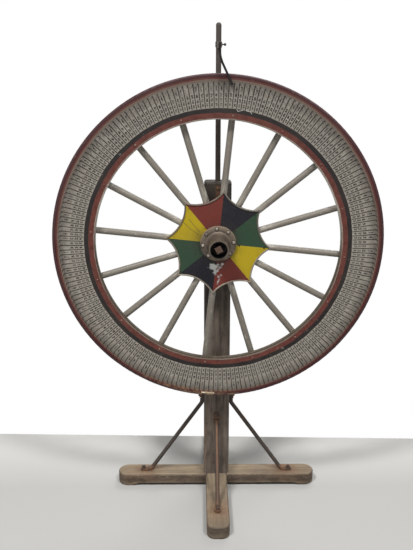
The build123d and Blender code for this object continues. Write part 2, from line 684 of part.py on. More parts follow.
strip_pitch = 360 / RIM_STRIPS
back_round = ((ring_back, WHEEL_RADIUS - RIM_BACK_ROUND), (ring_back - RIM_BACK_ROUND, WHEEL_RADIUS))
front_round = ((face_front + RIM_FRONT_ROUND, WHEEL_RADIUS), (face_front, WHEEL_RADIUS - RIM_FRONT_ROUND))
with BuildPart() as rim_band:
    for index in range(RIM_STRIPS):
        joint = radians(RIM_FIRST_JOINT + index * strip_pitch)
        section = Plane(origin=(0, 0, AXLE_HEIGHT), x_dir=(0, 1, 0), z_dir=(sin(joint), 0, -cos(joint)))
        with BuildSketch(section):
            with BuildLine():
                Line((ring_back, ring_outer_radius), back_round[0])
                RadiusArc(*back_round, -RIM_BACK_ROUND)
                Line(back_round[1], front_round[0])
                RadiusArc(*front_round, -RIM_FRONT_ROUND)
                Polyline(
                    front_round[1],
                    (face_front, ring_outer_radius),
                    (ring_back, ring_outer_radius),
                )
            make_face()
        revolve(axis=Axis((0, 0, AXLE_HEIGHT), (0, 1, 0)), revolution_arc=strip_pitch - RIM_JOINT)
save(rim_band.part, "rim_band")

with BuildPart() as pins:
    with BuildSketch(wheel_plane(face_back)):
        with PolarLocations(pin_circle_radius, PIN_COUNT, start_angle=PIN_PHASE):
            Circle(PIN_DIAMETER / 2)
    extrude(amount=FACE_THICKNESS + PIN_PROUD_LENGTH)
    chamfer(pins.faces().sort_by(Axis.Y)[:PIN_COUNT].edges(), length=PIN_TIP_CHAMFER)
save(pins.part, "pins")

# Pointer rod: round iron standing in the post's top, held by a cross bolt
with BuildPart() as pointer_rod:
    with BuildSketch(Plane.XY.offset(post_top - ROD_SOCKET)):
        Circle(ROD_DIAMETER / 2)
    extrude(amount=rod_top - post_top + ROD_SOCKET)
    fillet(pointer_rod.faces().sort_by(Axis.Z)[-1].edges(), radius=ROD_DIAMETER * 0.45)
    with Locations((0, 0, rod_bolt_height)):
        Cylinder(
            ROD_BOLT_DIAMETER / 2 + SMALL_CLEARANCE, ROD_DIAMETER, rotation=(90, 0, 0), mode=Mode.SUBTRACT
        )
save(pointer_rod.part, "pointer_rod")

rod_bolt_end = post_back + ROD_BOLT_HEAD_HEIGHT + THREAD_PROUD / 2
with BuildPart() as rod_bolt:
    with BuildSketch(front_plane(post_front)):
        with Locations((0, rod_bolt_height)):
            Circle(ROD_BOLT_HEAD / 2)
    extrude(amount=ROD_BOLT_HEAD_HEIGHT, taper=25)
    with BuildSketch(front_plane(rod_bolt_end)):
        with Locations((0, rod_bolt_height)):
            Circle(ROD_BOLT_DIAMETER / 2)
    extrude(amount=rod_bolt_end - post_front)
save(rod_bolt.part, "rod_bolt")

with BuildPart() as rod_bolt_nut:
    with BuildSketch(front_plane(post_back + ROD_BOLT_HEAD_HEIGHT)):
        with Locations((0, rod_bolt_height)):
            RegularPolygon(ROD_BOLT_HEAD / 2, 6, major_radius=False)
            Circle(ROD_BOLT_DIAMETER / 2 + SMALL_CLEARANCE, mode=Mode.SUBTRACT)
    extrude(amount=ROD_BOLT_HEAD_HEIGHT)
save(rod_bolt_nut.part, "rod_bolt_nut")

# Pointer arm: a collar that slides on the rod, with a bar over the rim to where the flapper hangs
collar_middle = collar_base + COLLAR_HEIGHT / 2
flapper_back = face_front - FLAPPER_FACE_GAP
flapper_front = flapper_back - FLAPPER_WIDTH
flapper_middle = (flapper_back + flapper_front) / 2
arm_side = ARM_WIDTH / 2
strip_side = FLAPPER_THICKNESS / 2
boss_face = COLLAR_DIAMETER / 2 + THUMBSCREW_BOSS_LENGTH
rivet_stations = (flapper_middle - RIVET_SPACING / 2, flapper_middle + RIVET_SPACING / 2)
side_plane = Plane(origin=(0, 0, 0), x_dir=(0, 1, 0), z_dir=(1, 0, 0))
with BuildPart() as pointer_arm:
    with BuildSketch(Plane.XY.offset(collar_base)):
        Circle(COLLAR_DIAMETER / 2)
        with Locations((0, flapper_front / 2)):
            Rectangle(ARM_WIDTH, -flapper_front)
        with Locations(((arm_side - strip_side) / 2, flapper_middle)):
            Rectangle(arm_side + strip_side, FLAPPER_WIDTH, mode=Mode.SUBTRACT)
    extrude(amount=COLLAR_HEIGHT)
    with BuildSketch(side_plane):
        with Locations((0, collar_middle)):
            Circle(THUMBSCREW_BOSS_DIAMETER / 2)
    extrude(amount=boss_face)
    with Locations((0, 0, collar_middle)):
        Cylinder(ROD_DIAMETER / 2 + COLLAR_CLEARANCE, COLLAR_HEIGHT, mode=Mode.SUBTRACT)
    with BuildSketch(side_plane):
        with Locations((0, collar_middle)):
            Circle(THUMBSCREW_DIAMETER / 2 + RUNNING_CLEARANCE)
    extrude(amount=boss_face, mode=Mode.SUBTRACT)
    with BuildSketch(side_plane.offset(-arm_side)):
        for station in rivet_stations:
            with Locations((station, collar_middle)):
                Circle(RIVET_DIAMETER / 2 + SMALL_CLEARANCE)
    extrude(amount=ARM_WIDTH, mode=Mode.SUBTRACT)
save(pointer_arm.part, "pointer_arm")

keeper_outer = strip_side + KEEPER_THICKNESS
with BuildPart() as flapper_keeper:
    with BuildSketch(side_plane.offset(strip_side)):
        with Locations((flapper_middle, collar_middle)):
            Rectangle(FLAPPER_WIDTH, COLLAR_HEIGHT)
        for station in rivet_stations:
            with Locations((station, collar_middle)):
                Circle(RIVET_DIAMETER / 2 + SMALL_CLEARANCE, mode=Mode.SUBTRACT)
    extrude(amount=KEEPER_THICKNESS)
save(flapper_keeper.part, "flapper_keeper")

with BuildPart() as flapper_rivets:
    with BuildSketch(side_plane.offset(-arm_side)):
        for station in rivet_stations:
            with Locations((station, collar_middle)):
                Circle(RIVET_DIAMETER / 2)
    extrude(amount=arm_side + keeper_outer)
    for seat, reach in ((keeper_outer, RIVET_HEAD_HEIGHT), (-arm_side, -RIVET_HEAD_HEIGHT)):
        with BuildSketch(side_plane.offset(seat)):
            for station in rivet_stations:
                with Locations((station, collar_middle)):
                    Circle(RIVET_HEAD_DIAMETER / 2)
        extrude(amount=reach, taper=20)
save(flapper_rivets.part, "flapper_rivets")

# Flapper: a leather strip, straight from the arm, then bent aside until it passes between two pins
bend_start = collar_base - FLAPPER_ROOT_DROP
gap_angle = PIN_PHASE + (FLAPPER_PIN_NUMBER + FLAPPER_PIN_SHARE) * 360 / PIN_COUNT
gap_x, _, gap_z = on_wheel(pin_circle_radius, gap_angle, flapper_middle)
from_bend = (gap_x - FLAPPER_BEND_RADIUS, gap_z - bend_start)
lean = atan2(from_bend[1], from_bend[0]) + acos(-FLAPPER_BEND_RADIUS / hypot(*from_bend))
bend_x = FLAPPER_BEND_RADIUS * (1 - cos(lean))
bend_z = bend_start - FLAPPER_BEND_RADIUS * sin(lean)
tip_z = AXLE_HEIGHT + pin_circle_radius - FLAPPER_DIP
tip_x = bend_x + (bend_z - tip_z) * tan(lean)
with BuildPart() as flapper:
    with BuildSketch(front_plane(flapper_back)):
        with BuildLine():
            Line((0, collar_base + COLLAR_HEIGHT), (0, bend_start))
            RadiusArc((0, bend_start), (bend_x, bend_z), FLAPPER_BEND_RADIUS)
            Line((bend_x, bend_z), (tip_x, tip_z))
        trace(line_width=FLAPPER_THICKNESS)
    extrude(amount=FLAPPER_WIDTH)
    tip_corners = flapper.faces().sort_by(Axis.Z)[0].edges().sort_by(SortBy.LENGTH)[:2]
    fillet(tip_corners, radius=FLAPPER_TIP_ROUND)
    with BuildSketch(side_plane.offset(-strip_side)):
        for station in rivet_stations:
            with Locations((station, collar_middle)):
                Circle(RIVET_DIAMETER / 2 + SMALL_CLEARANCE)
    extrude(amount=FLAPPER_THICKNESS, mode=Mode.SUBTRACT)
save(flapper.part, "flapper")

# Thumbscrew: clamps the collar on the rod
screw_tip = ROD_DIAMETER / 2 + THUMBSCREW_TIP_GAP
knob_start = boss_face + THUMBSCREW_NECK
with BuildPart() as thumbscrew:
    with BuildSketch(side_plane.offset(knob_start)):
        with Locations((0, collar_middle)):
            Circle(THUMBSCREW_KNOB_DIAMETER / 2)
    extrude(amount=THUMBSCREW_KNOB_LENGTH)
    fillet(thumbscrew.edges().filter_by(GeomType.CIRCLE), radius=THUMBSCREW_KNOB_ROUND)
    with BuildSketch(side_plane.offset(screw_tip)):
        with Locations((0, collar_middle)):
            Circle(THUMBSCREW_DIAMETER / 2)
    extrude(amount=knob_start + THUMBSCREW_KNOB_LENGTH / 2 - screw_tip)
save(thumbscrew.part, "thumbscrew")
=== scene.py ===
"""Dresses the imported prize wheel: paint, worn timber, rusted iron, a leather flapper and a stage."""

import json
import math

import bmesh
import bpy
from bpy.props import FloatProperty, FloatVectorProperty, IntProperty, PointerProperty
from mathutils import Matrix, Vector


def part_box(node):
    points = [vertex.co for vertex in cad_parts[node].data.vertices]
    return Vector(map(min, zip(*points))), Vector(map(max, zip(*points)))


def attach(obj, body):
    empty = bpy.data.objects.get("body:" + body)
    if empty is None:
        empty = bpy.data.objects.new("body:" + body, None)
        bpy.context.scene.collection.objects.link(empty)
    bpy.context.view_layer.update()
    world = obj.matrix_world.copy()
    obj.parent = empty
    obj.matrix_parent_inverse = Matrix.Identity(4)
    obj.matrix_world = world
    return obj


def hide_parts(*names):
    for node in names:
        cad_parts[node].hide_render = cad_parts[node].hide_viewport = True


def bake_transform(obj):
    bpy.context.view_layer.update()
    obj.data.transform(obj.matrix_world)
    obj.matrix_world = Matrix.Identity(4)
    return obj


bl_info = {
    "name": "Prize Wheel on a Post Stand",
    "version": (1, 0, 0),
    "blender": (4, 5, 0),
    "location": "View3D > Sidebar > Prize Wheel",
    "description": "Gives the packed prize wheel its paint, timber, iron and leather, and a stage",
    "category": "Object",
}

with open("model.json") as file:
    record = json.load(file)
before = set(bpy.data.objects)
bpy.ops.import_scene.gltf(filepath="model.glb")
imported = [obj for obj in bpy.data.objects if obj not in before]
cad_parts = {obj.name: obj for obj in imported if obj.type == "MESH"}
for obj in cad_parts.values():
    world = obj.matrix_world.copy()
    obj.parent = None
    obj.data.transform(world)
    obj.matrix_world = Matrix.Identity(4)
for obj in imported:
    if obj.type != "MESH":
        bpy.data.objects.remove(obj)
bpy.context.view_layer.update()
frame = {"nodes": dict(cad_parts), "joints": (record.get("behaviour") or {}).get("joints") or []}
NODES = frame["nodes"]

# Places taken from the frame, in metres
FACE_LOW, FACE_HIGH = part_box("face_ring")
FLAPPER_LOW, FLAPPER_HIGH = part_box("flapper")
AXLE = Vector((0.0, 0.0, (FACE_LOW.z + FACE_HIGH.z) / 2))
FACE_FRONT = FACE_LOW.y
STAR_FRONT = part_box("star_plate")[0].y
ARM_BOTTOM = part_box("pointer_arm")[0].z
FLEX = next(joint for joint in frame["joints"] if joint["name"] == "flapper_flex")

# The wheel's layout: cells between pins, and the star's points on every other spoke
PIN_COUNT = 200
PIN_PHASE = math.radians(0.2)
SPOKE_PHASE = math.radians(84.1)
STAR_POINTS = 8
STAR_RADIUS = 0.180
STAR_WAIST = 0.146
STAR_ARC_CUTS = 14
BOLT_COUNT = 8
BOLT_CIRCLE = 0.0525

# The foot washers' radius, and the height below which the braces are rustier
WASHER_RADIUS = 0.012
BRACE_FOOT = 0.054

# Radii where the ring's painted bands meet
LIP_EDGE = 0.4208
RED_EDGE = 0.4380
BLACK_EDGE = 0.4530
GROUND_EDGE = 0.5365
TAN_EDGE = 0.5430
DEEP_EDGE = 0.5482

# Figures: type size and added weight as shares of their height, and how narrow they are
TYPE_SIZE = 1.35
TYPE_WEIGHT = 0.075
TYPE_NARROW = 0.43

# The flapper's strip: its section, and the radius and lean of its bend below the arm
FLAPPER_THICK = 0.007
FLAPPER_ROUND = 0.0011
FLAPPER_BEND = 0.108
FLAPPER_LEAN = math.radians(25.82)

# Scratches and flaked places, with their ends given across and up, and half a width for flakes
RING_SCRATCHES = (
    ((0.0556, 1.4292), (0.0600, 1.4225)),
    ((0.0600, 1.4225), (0.0750, 1.4255)),
    ((0.0870, 1.4236), (0.1010, 1.4205)),
    ((0.1010, 1.4205), (0.1050, 1.4140)),
)
STAR_SCRATCHES = (
    ((-0.1193, 1.0542), (-0.0962, 1.0322)),
    ((-0.0962, 1.0322), (-0.0665, 1.0103)),
    ((-0.0992, 1.0639), (-0.0639, 1.0197)),
)
STAR_FLAKES = (
    ((-0.024, 0.895), (-0.005, 0.901), 0.0085),
    ((-0.012, 0.893), (-0.010, 0.876), 0.0050),
    ((0.015, 0.905), (-0.003, 0.881), 0.0030),
    ((0.010, 0.866), (0.002, 0.858), 0.0018),
    ((0.008, 0.862), (-0.003, 0.837), 0.0016),
)

# Dirt, stains, bare places and painted shade, in the shaders' linear values
RING_DIRT = (0.15, 0.12, 0.09)
RING_SPECKS = (0.05, 0.043, 0.036)
RING_SHADOW = (0.03, 0.029, 0.027)
PIN_SHADOW_AND_SOIL = (0.062, 0.052, 0.043)
RING_PALE = (0.42, 0.38, 0.33)
CELL_PALE = (0.41, 0.38, 0.335)
RED_STAIN = (0.035, 0.014, 0.012)
SCRATCH = (0.62, 0.60, 0.56)
BARE_WOOD = (0.80, 0.68, 0.50)
RUBBED_RED = (0.25, 0.15, 0.085)
LIP_RUBBED = (0.58, 0.55, 0.50)
RIM_WORN = (0.27, 0.18, 0.13)
RIM_WOOD = (0.30, 0.21, 0.13)
STAR_DIRT = (0.05, 0.04, 0.035)
STAR_SPECKS = (0.33, 0.30, 0.26)
STAR_GRIME = (0.03, 0.025, 0.02)
STAR_SCRATCH = (0.05, 0.042, 0.03)
STAR_HOLE = (0.02, 0.016, 0.013)
EDGING_GRIME = (0.13, 0.11, 0.09)
SPOKE_STREAK = (0.14, 0.122, 0.098)
SPOKE_RUST = (0.17, 0.105, 0.06)
BEAM_EDGE = (0.05, 0.036, 0.027)
BEAM_END = (0.095, 0.074, 0.056)
BOLT_RING_DARK = (0.018, 0.014, 0.012)
BORE_GREASE_AND_SHADE = (0.008, 0.007, 0.006)
AXLE_RUST = (0.115, 0.066, 0.045)
AXLE_DARK = (0.045, 0.030, 0.024)
AXLE_SHADOW = (0.006, 0.005, 0.005)
LEATHER_DULL = (0.018, 0.015, 0.013)

# Bright and dull shades of small metal parts, and where the braces' rust pattern starts
WIRE_SHADES = (0.050, 0.042, 0.036), (0.022, 0.018, 0.015)
NAIL_SHADES = (0.19, 0.12, 0.10), (0.12, 0.045, 0.036)
BOLT_SHADES = (0.36, 0.31, 0.26), (0.16, 0.13, 0.105)
IRON_SHIFT = (0.4, 0.2, 0.6)


def srgb(red, green, blue):
    """A colour given in screen values of 0 to 255, as the linear values that the shaders take."""

    def linear(value):
        share = value / 255
        return share / 12.92 if share <= 0.04045 else ((share + 0.055) / 1.055) ** 2.4

    return (linear(red), linear(green), linear(blue))


def colour(label, text, screen):
    """A colour setting with its default given in screen values."""
    return FloatVectorProperty(
        name=label, description=text, subtype="COLOR", size=3, min=0.0, max=1.0, default=srgb(*screen)
    )


def length(label, text, value):
    """A length setting in metres."""
    return FloatProperty(
        name=label, description=text, default=value, min=0.0, unit="LENGTH", precision=4
    )


class PrizeWheelPaint(bpy.types.PropertyGroup):
    """Colours of the paint on the ring and the star."""

    ground: colour("Ground", "Aged pale ground of the numbered band", (149, 143, 133))
    ink: colour("Ink", "Figures and cell lines", (29, 26, 24))
    black: colour("Black band", "Band inside the numbered band", (31, 28, 29))
    red: colour("Red bands", "Bands at the ring's two edges", (104, 55, 48))
    lip: colour("Inner lip", "Bare inner edge of the ring", (170, 156, 142))
    tan: colour("Outer line", "Line between the pins and the outer red band", (112, 96, 86))
    maroon: colour("Outer edge", "Dark edge outside the outer red band", (58, 25, 28))
    rim: colour("Rim", "Rounded outer edge", (54, 25, 28))
    star_red: colour("Star red", "Red fields of the star", (101, 44, 37))
    star_navy: colour("Star navy", "Dark fields of the star", (26, 25, 31))
    star_green: colour("Star green", "Green fields of the star", (41, 63, 46))
    star_yellow: colour("Star yellow", "Yellow fields of the star", (163, 142, 25))
    edging: colour("Edging", "Raised edge round the star", (140, 130, 116))
    undercoat: colour("Undercoat", "Pale undercoat where paint has come away", (160, 161, 158))


class PrizeWheelMaterials(bpy.types.PropertyGroup):
    """Colours of timber, iron and leather."""

    spoke: colour("Spokes", "Thin grey paint on the dowels", (110, 104, 95))
    spoke_worn: colour("Spokes, worn", "Where the dowels are rubbed pale", (184, 178, 166))
    post: colour("Post", "Weathered timber of the post", (134, 121, 109))
    post_dark: colour("Post, grain", "Dark streaks along the post", (66, 58, 52))
    beam: colour("Beams", "Worn tops of the cross base", (145, 129, 107))
    beam_side: colour("Beams, sides", "Stained sides of the cross base", (98, 83, 72))
    board: colour("Bare board", "Unpainted wood behind the ring", (122, 108, 92))
    iron: colour("Iron", "Dark forged iron", (72, 64, 59))
    rust: colour("Rust", "Rust on iron", (128, 92, 66))
    hub: colour("Hub", "Bare grey casting", (102, 90, 78))
    hub_dark: colour("Hub, dark", "Grime on the casting", (54, 47, 41))
    bronze: colour("Bronze", "Bushes", (140, 106, 64))
    leather: colour("Leather", "Flapper", (24, 21, 21))


class PrizeWheelSizes(bpy.types.PropertyGroup):
    """Sizes of what is drawn on or bent over the solids."""

    paint_lift: length("Paint lift", "Height of drawn lines and figures over the board", 0.00012)
    line_width: length("Line width", "Width of the lines between cells", 0.0031)
    line_inner: length("Line inner radius", "Where the cell lines start", 0.4545)
    line_outer: length("Line outer radius", "Where the cell lines end", 0.5335)
    small_figure: length("Small figures", "Height of the inner row of figures", 0.0100)
    middle_figure: length("Middle figures", "Height of the two middle rows of figures", 0.0112)
    large_figure: length("Large figures", "Height of the outer row of figures", 0.0148)
    small_radius: length("Small figure radius", "Middle of the inner row", 0.4635)
    middle_radius: length("Middle figure radius", "Middle of the second row", 0.4780)
    upper_radius: length("Upper figure radius", "Middle of the third row", 0.4935)
    large_radius: length("Large figure radius", "Middle of the outer row", 0.5145)
    edging_width: length("Edging width", "Width of the star's raised edge", 0.0056)
    edging_height: length("Edging height", "Height of the star's raised edge", 0.0010)
    flapper_rings: IntProperty(
        name="Flapper rings", description="Cuts along the flapper", default=30, min=8
    )


def scaled(shade, factor):
    """A colour, or a pattern's scale, times a factor."""
    return tuple(factor * part for part in shade)


class Finish:
    """Builds one procedural material in object coordinates: a ground shade with coats laid over it."""

    def __init__(self, name, ground=None, roughness=0.6, metallic=0.0, specular=0.4):
        self.material = bpy.data.materials.new(name)
        self.material.use_nodes = True
        self.tree = self.material.node_tree
        self.shader = self.tree.nodes["Principled BSDF"]
        self.shader.inputs["Roughness"].default_value = roughness
        self.shader.inputs["Metallic"].default_value = metallic
        self.shader.inputs["Specular IOR Level"].default_value = specular
        self.where = self.put("ShaderNodeTexCoord").outputs["Object"]
        self.shade = ground

    def put(self, kind, *values, **settings):
        """A new node with some of its settings, and values for its first sockets."""
        node = self.tree.nodes.new(kind)
        for key, value in settings.items():
            setattr(node, key, value)
        for socket, value in zip(node.inputs, values):
            self.feed(socket, value)
        return node

    def feed(self, socket, value):
        """Links a socket, or sets it where the value is a constant."""
        if isinstance(value, bpy.types.NodeSocket):
            self.tree.links.new(value, socket)
        elif hasattr(value, "__len__") and socket.type == "RGBA":
            socket.default_value = (*tuple(value)[:3], 1.0)
        else:
            socket.default_value = value

    def calc(self, operation, first, second=0.0, third=0.0):
        """One step of arithmetic."""
        return self.put("ShaderNodeMath", first, second, third, operation=operation).outputs[0]

    def times(self, first, *others):
        """Values multiplied together."""
        for other in others:
            first = self.calc("MULTIPLY", first, other)
        return first

    def weigh(self, first, share, second, other):
        """Two patterns added by weight."""
        return self.calc("ADD", self.times(first, share), self.times(second, other))

    def spread(self, scale, shift=(0, 0, 0)):
        """Object coordinates, scaled and shifted for a pattern."""
        unturned = (0, 0, 0)
        return self.put("ShaderNodeMapping", self.where, shift, unturned, scale).outputs[0]

    def polar(self):
        """Radius from the axle, angle round it and station along it."""
        across, along, up = self.put("ShaderNodeSeparateXYZ", self.spread((1, 1, 1), -AXLE)).outputs
        square = self.calc("ADD", self.times(across, across), self.times(up, up))
        return self.calc("SQRT", square), self.calc("ARCTAN2", up, across), along

    def axes(self):
        """The three object coordinates by themselves: across, along the axle and up."""
        return tuple(self.put("ShaderNodeSeparateXYZ", self.where).outputs)

    def join(self, first, second, third):
        """Three numbers as one vector."""
        return self.put("ShaderNodeCombineXYZ", first, second, third).outputs[0]

    def noise(self, vector, scale=1.0, detail=4.0, rough=0.55):
        """Soft noise from 0 to 1."""
        node = self.put("ShaderNodeTexNoise", vector)
        node.inputs["Scale"].default_value = scale
        node.inputs["Detail"].default_value = detail
        node.inputs["Roughness"].default_value = rough
        return node.outputs[0]

    def cloud(self, scale, detail, rough=0.55, shift=(0, 0, 0)):
        """Soft noise that is the same in all directions."""
        return self.noise(self.spread((1, 1, 1), shift), scale, detail, rough)

    def span(self, value, low, high, start=0.0, end=1.0):
        """A value stretched from one range to another, held at its ends."""
        return self.put("ShaderNodeMapRange", value, low, high, start, end).outputs[0]

    def between(self, value, low, rise, fall, high):
        """1 from the rise to the fall of a value, and 0 below the low and above the high."""
        return self.times(self.span(value, low, rise), self.span(value, fall, high, 1.0, 0.0))

    def mix(self, share, first, second):
        """Two colours mixed by a share."""
        node = self.put("ShaderNodeMix", share, data_type="RGBA")
        self.feed(node.inputs[6], first)
        self.feed(node.inputs[7], second)
        return node.outputs[2]

    def coat(self, shade, *shares):
        """Lays a shade over what is there, by its shares multiplied together."""
        self.shade = self.mix(self.times(*shares), self.shade, shade)

    def ramp(self, value, stops, hard=False):
        """Colours along a value: stops are pairs of place and colour."""
        node = self.put("ShaderNodeValToRGB", value)
        node.color_ramp.interpolation = "CONSTANT" if hard else "LINEAR"
        while len(node.color_ramp.elements) < len(stops):
            node.color_ramp.elements.new(1.0)
        for element, (place, shade) in zip(node.color_ramp.elements, stops):
            element.position = place
            element.color = (*tuple(shade)[:3], 1.0)
        return node.outputs[0]

    def near(self, middle, inner, outer):
        """1 within the inner distance of a point, falling to 0 at the outer one."""
        node = self.put("ShaderNodeVectorMath", self.where, middle, operation="DISTANCE")
        return self.span(node.outputs["Value"], inner, outer, 1.0, 0.0)

    def near_line(self, start, end, half, fade):
        """1 within half a width of a straight line, falling to 0 beyond it."""
        run = Vector(end) - Vector(start)
        per_run = run / run.length_squared
        offset = self.put("ShaderNodeVectorMath", self.where, start, operation="SUBTRACT").outputs[0]
        dot = self.put("ShaderNodeVectorMath", offset, per_run, operation="DOT_PRODUCT")
        along = self.put("ShaderNodeVectorMath", run, operation="SCALE")
        self.feed(along.inputs["Scale"], self.span(dot.outputs["Value"], 0.0, 1.0))
        gap = self.put("ShaderNodeVectorMath", offset, along.outputs[0], operation="DISTANCE")
        return self.span(gap.outputs["Value"], half, half + fade, 1.0, 0.0)

    def mark(self, start, end, front, half, fade):
        """1 near a line on an upright face, with the line's ends given across and up."""
        return self.near_line((start[0], front, start[1]), (end[0], front, end[1]), half, fade)

    def close(self, height=None, bump=0.3, depth=0.001):
        """Feeds the shader and returns the finished material."""
        self.feed(self.shader.inputs["Base Color"], self.shade)
        if height is not None:
            node = self.put("ShaderNodeBump")
            node.inputs["Strength"].default_value = bump
            node.inputs["Distance"].default_value = depth
            self.feed(node.inputs["Height"], height)
            self.feed(self.shader.inputs["Normal"], node.outputs[0])
        return self.material


def paint(material, *names):
    """Gives CAD nodes a material."""
    for name in names:
        slots = NODES[name].data.materials
        slots.clear()
        slots.append(material)


def piece(name, mesh, material, body):
    """A new piece in the scene: its mesh is in place already, and it rides on a body where one is
    given.
    """
    made = bpy.data.objects.new(name, mesh)
    bpy.context.scene.collection.objects.link(made)
    made.data.materials.append(material)
    if body:
        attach(made, body)
    return made


def mesh_from(name, shape):
    """A mesh from a finished bmesh."""
    mesh = bpy.data.meshes.new(name)
    shape.to_mesh(mesh)
    shape.free()
    return mesh


def on_wheel(radius, angle, station):
    """The place at a radius and angle on the wheel, at a station along the axle."""
    return Vector((radius * math.cos(angle), station, AXLE.z + radius * math.sin(angle)))


def on_face(radius, degrees):
    """A place on the ring's front."""
    return on_wheel(radius, math.radians(degrees), FACE_FRONT)


def upright_on_wheel(radius, angle, station):
    """The transform that stands a flat drawing on the wheel's face with its top away from the axle."""
    outward = Vector((math.cos(angle), 0.0, math.sin(angle)))
    front = Vector((0.0, -1.0, 0.0))
    side = outward.cross(front)
    turn = Matrix((side, outward, front)).transposed().to_4x4()
    return Matrix.Translation(on_wheel(radius, angle, station)) @ turn


# Materials


def ring_finish(paints):
    """Painted bands by radius, with soft wobbling edges, grime, rubbed places, and painted shade and
    shadow.
    """
    finish = Finish("ring_paint", roughness=0.66, specular=0.15)
    radius, up = finish.polar()[0], finish.axes()[2]
    edge = finish.calc("ADD", radius, finish.span(finish.cloud(22, 3), 0.3, 0.7, -0.0009, 0.0009))
    low, high, soft = 0.410, 0.560, 0.0011
    deep = tuple(0.66 * first + 0.34 * second for first, second in zip(paints.red, paints.maroon))
    stops = []
    for border, inside, outside in (
        (LIP_EDGE, paints.lip, paints.red),
        (RED_EDGE, paints.red, paints.black),
        (BLACK_EDGE, paints.black, paints.ground),
        (GROUND_EDGE, paints.ground, paints.tan),
        (TAN_EDGE, paints.tan, deep),
        (DEEP_EDGE, deep, paints.maroon),
    ):
        for place, shade in ((border - soft / 2, inside), (border + soft / 2, outside)):
            stops.append(((place - low) / (high - low), shade))
    finish.shade = finish.ramp(finish.span(edge, low, high), stops)
    # Painted shade: the inner lip is darker in the wheel's lower half.
    lower = finish.span(up, AXLE.z + 0.05, AXLE.z - 0.20)
    lip = finish.span(radius, LIP_EDGE + 0.0006, LIP_EDGE - 0.0006)
    finish.coat(scaled(paints.lip, 0.22), lower, lip, 0.8)
    blotch = finish.cloud(9, 6, rough=0.62)
    fine = finish.cloud(260, 3, rough=0.6)
    finish.coat(finish.mix(0.3, finish.shade, RING_DIRT), finish.span(blotch, 0.40, 0.72, 0.0, 0.42))
    finish.coat(RING_SPECKS, finish.span(fine, 0.30, 0.62, 0.22, 0.0))
    # Painted shade: the ring's upper half is darkened.
    finish.coat(RING_SHADOW, finish.span(up, AXLE.z, AXLE.z + 0.4, 0.0, 0.17))
    # Soil and painted shadow of the pins darken the ground towards its outer edge.
    outer = finish.between(radius, 0.500, 0.533, GROUND_EDGE, GROUND_EDGE + 0.002)
    finish.coat(PIN_SHADOW_AND_SOIL, outer, finish.span(blotch, 0.30, 0.70, 0.75, 0.45))
    pale = finish.cloud(34, 7, rough=0.7, shift=(3, 1, 2))
    finish.coat(RING_PALE, finish.span(pale, 0.63, 0.74, 0.0, 0.35))
    cells = finish.between(radius, BLACK_EDGE, BLACK_EDGE + 0.004, 0.530, 0.537)
    finish.coat(CELL_PALE, cells, finish.span(pale, 0.52, 0.66, 0.0, 0.32))
    stain = finish.cloud(42, 7, rough=0.7, shift=(6, 2, 3))
    band = finish.between(radius, 0.4205, 0.4225, 0.4365, 0.4385)
    finish.coat(RED_STAIN, band, finish.span(stain, 0.42, 0.66, 0.06, 0.62))
    for start, end in RING_SCRATCHES:
        finish.coat(SCRATCH, finish.mark(start, end, FACE_FRONT, 0.0004, 0.0008), 0.6)
    streak = finish.near_line(on_face(0.5495, 264.2), on_face(0.5495, 268.5), 0.0018, 0.0022)
    finish.coat(BARE_WOOD, streak, finish.span(fine, 0.3, 0.5, 0.6, 1.0))
    bottom = finish.near(on_face(0.548, 258), 0.04, 0.19)
    outside = finish.span(radius, 0.530, 0.545)
    finish.coat(RUBBED_RED, bottom, outside, finish.span(pale, 0.42, 0.58), 0.75)
    return finish.close(finish.weigh(fine, 0.6, blotch, 0.4), bump=0.25, depth=0.0006)


def ink_finish(paints):
    """Old printed ink, faded in patches towards the ground and more in the wheel's lower half."""
    finish = Finish("faded_ink", paints.ink, roughness=0.7, specular=0.2)
    patch = finish.span(finish.cloud(30, 4, rough=0.6), 0.44, 0.72, 0.0, 0.45)
    speck = finish.span(finish.cloud(700, 2), 0.45, 0.7, 0.0, 0.2)
    lower = finish.span(finish.axes()[2], AXLE.z - 0.25, AXLE.z + 0.25, 1.0, 0.5)
    finish.coat(scaled(paints.ground, 0.62), finish.calc("ADD", patch, speck), lower)
    return finish.close()


def rim_finish(paints):
    """Dark maroon edge, rubbed to wood at the bottom."""
    finish = Finish("rim_paint", paints.rim, roughness=0.5, specular=0.35)
    wear = finish.cloud(26, 7, rough=0.65)
    cloud = finish.cloud(6, 3, shift=(1, 4, 2))
    finish.coat(paints.maroon, finish.span(cloud, 0.35, 0.7, 0.0, 0.6))
    finish.coat(RIM_WORN, finish.span(wear, 0.62, 0.74, 0.0, 0.5))
    bottom = finish.near(on_face(0.556, 268.5), 0.03, 0.16)
    finish.coat(RIM_WOOD, bottom, finish.span(wear, 0.42, 0.60), 0.85)
    return finish.close(wear, bump=0.3, depth=0.0008)


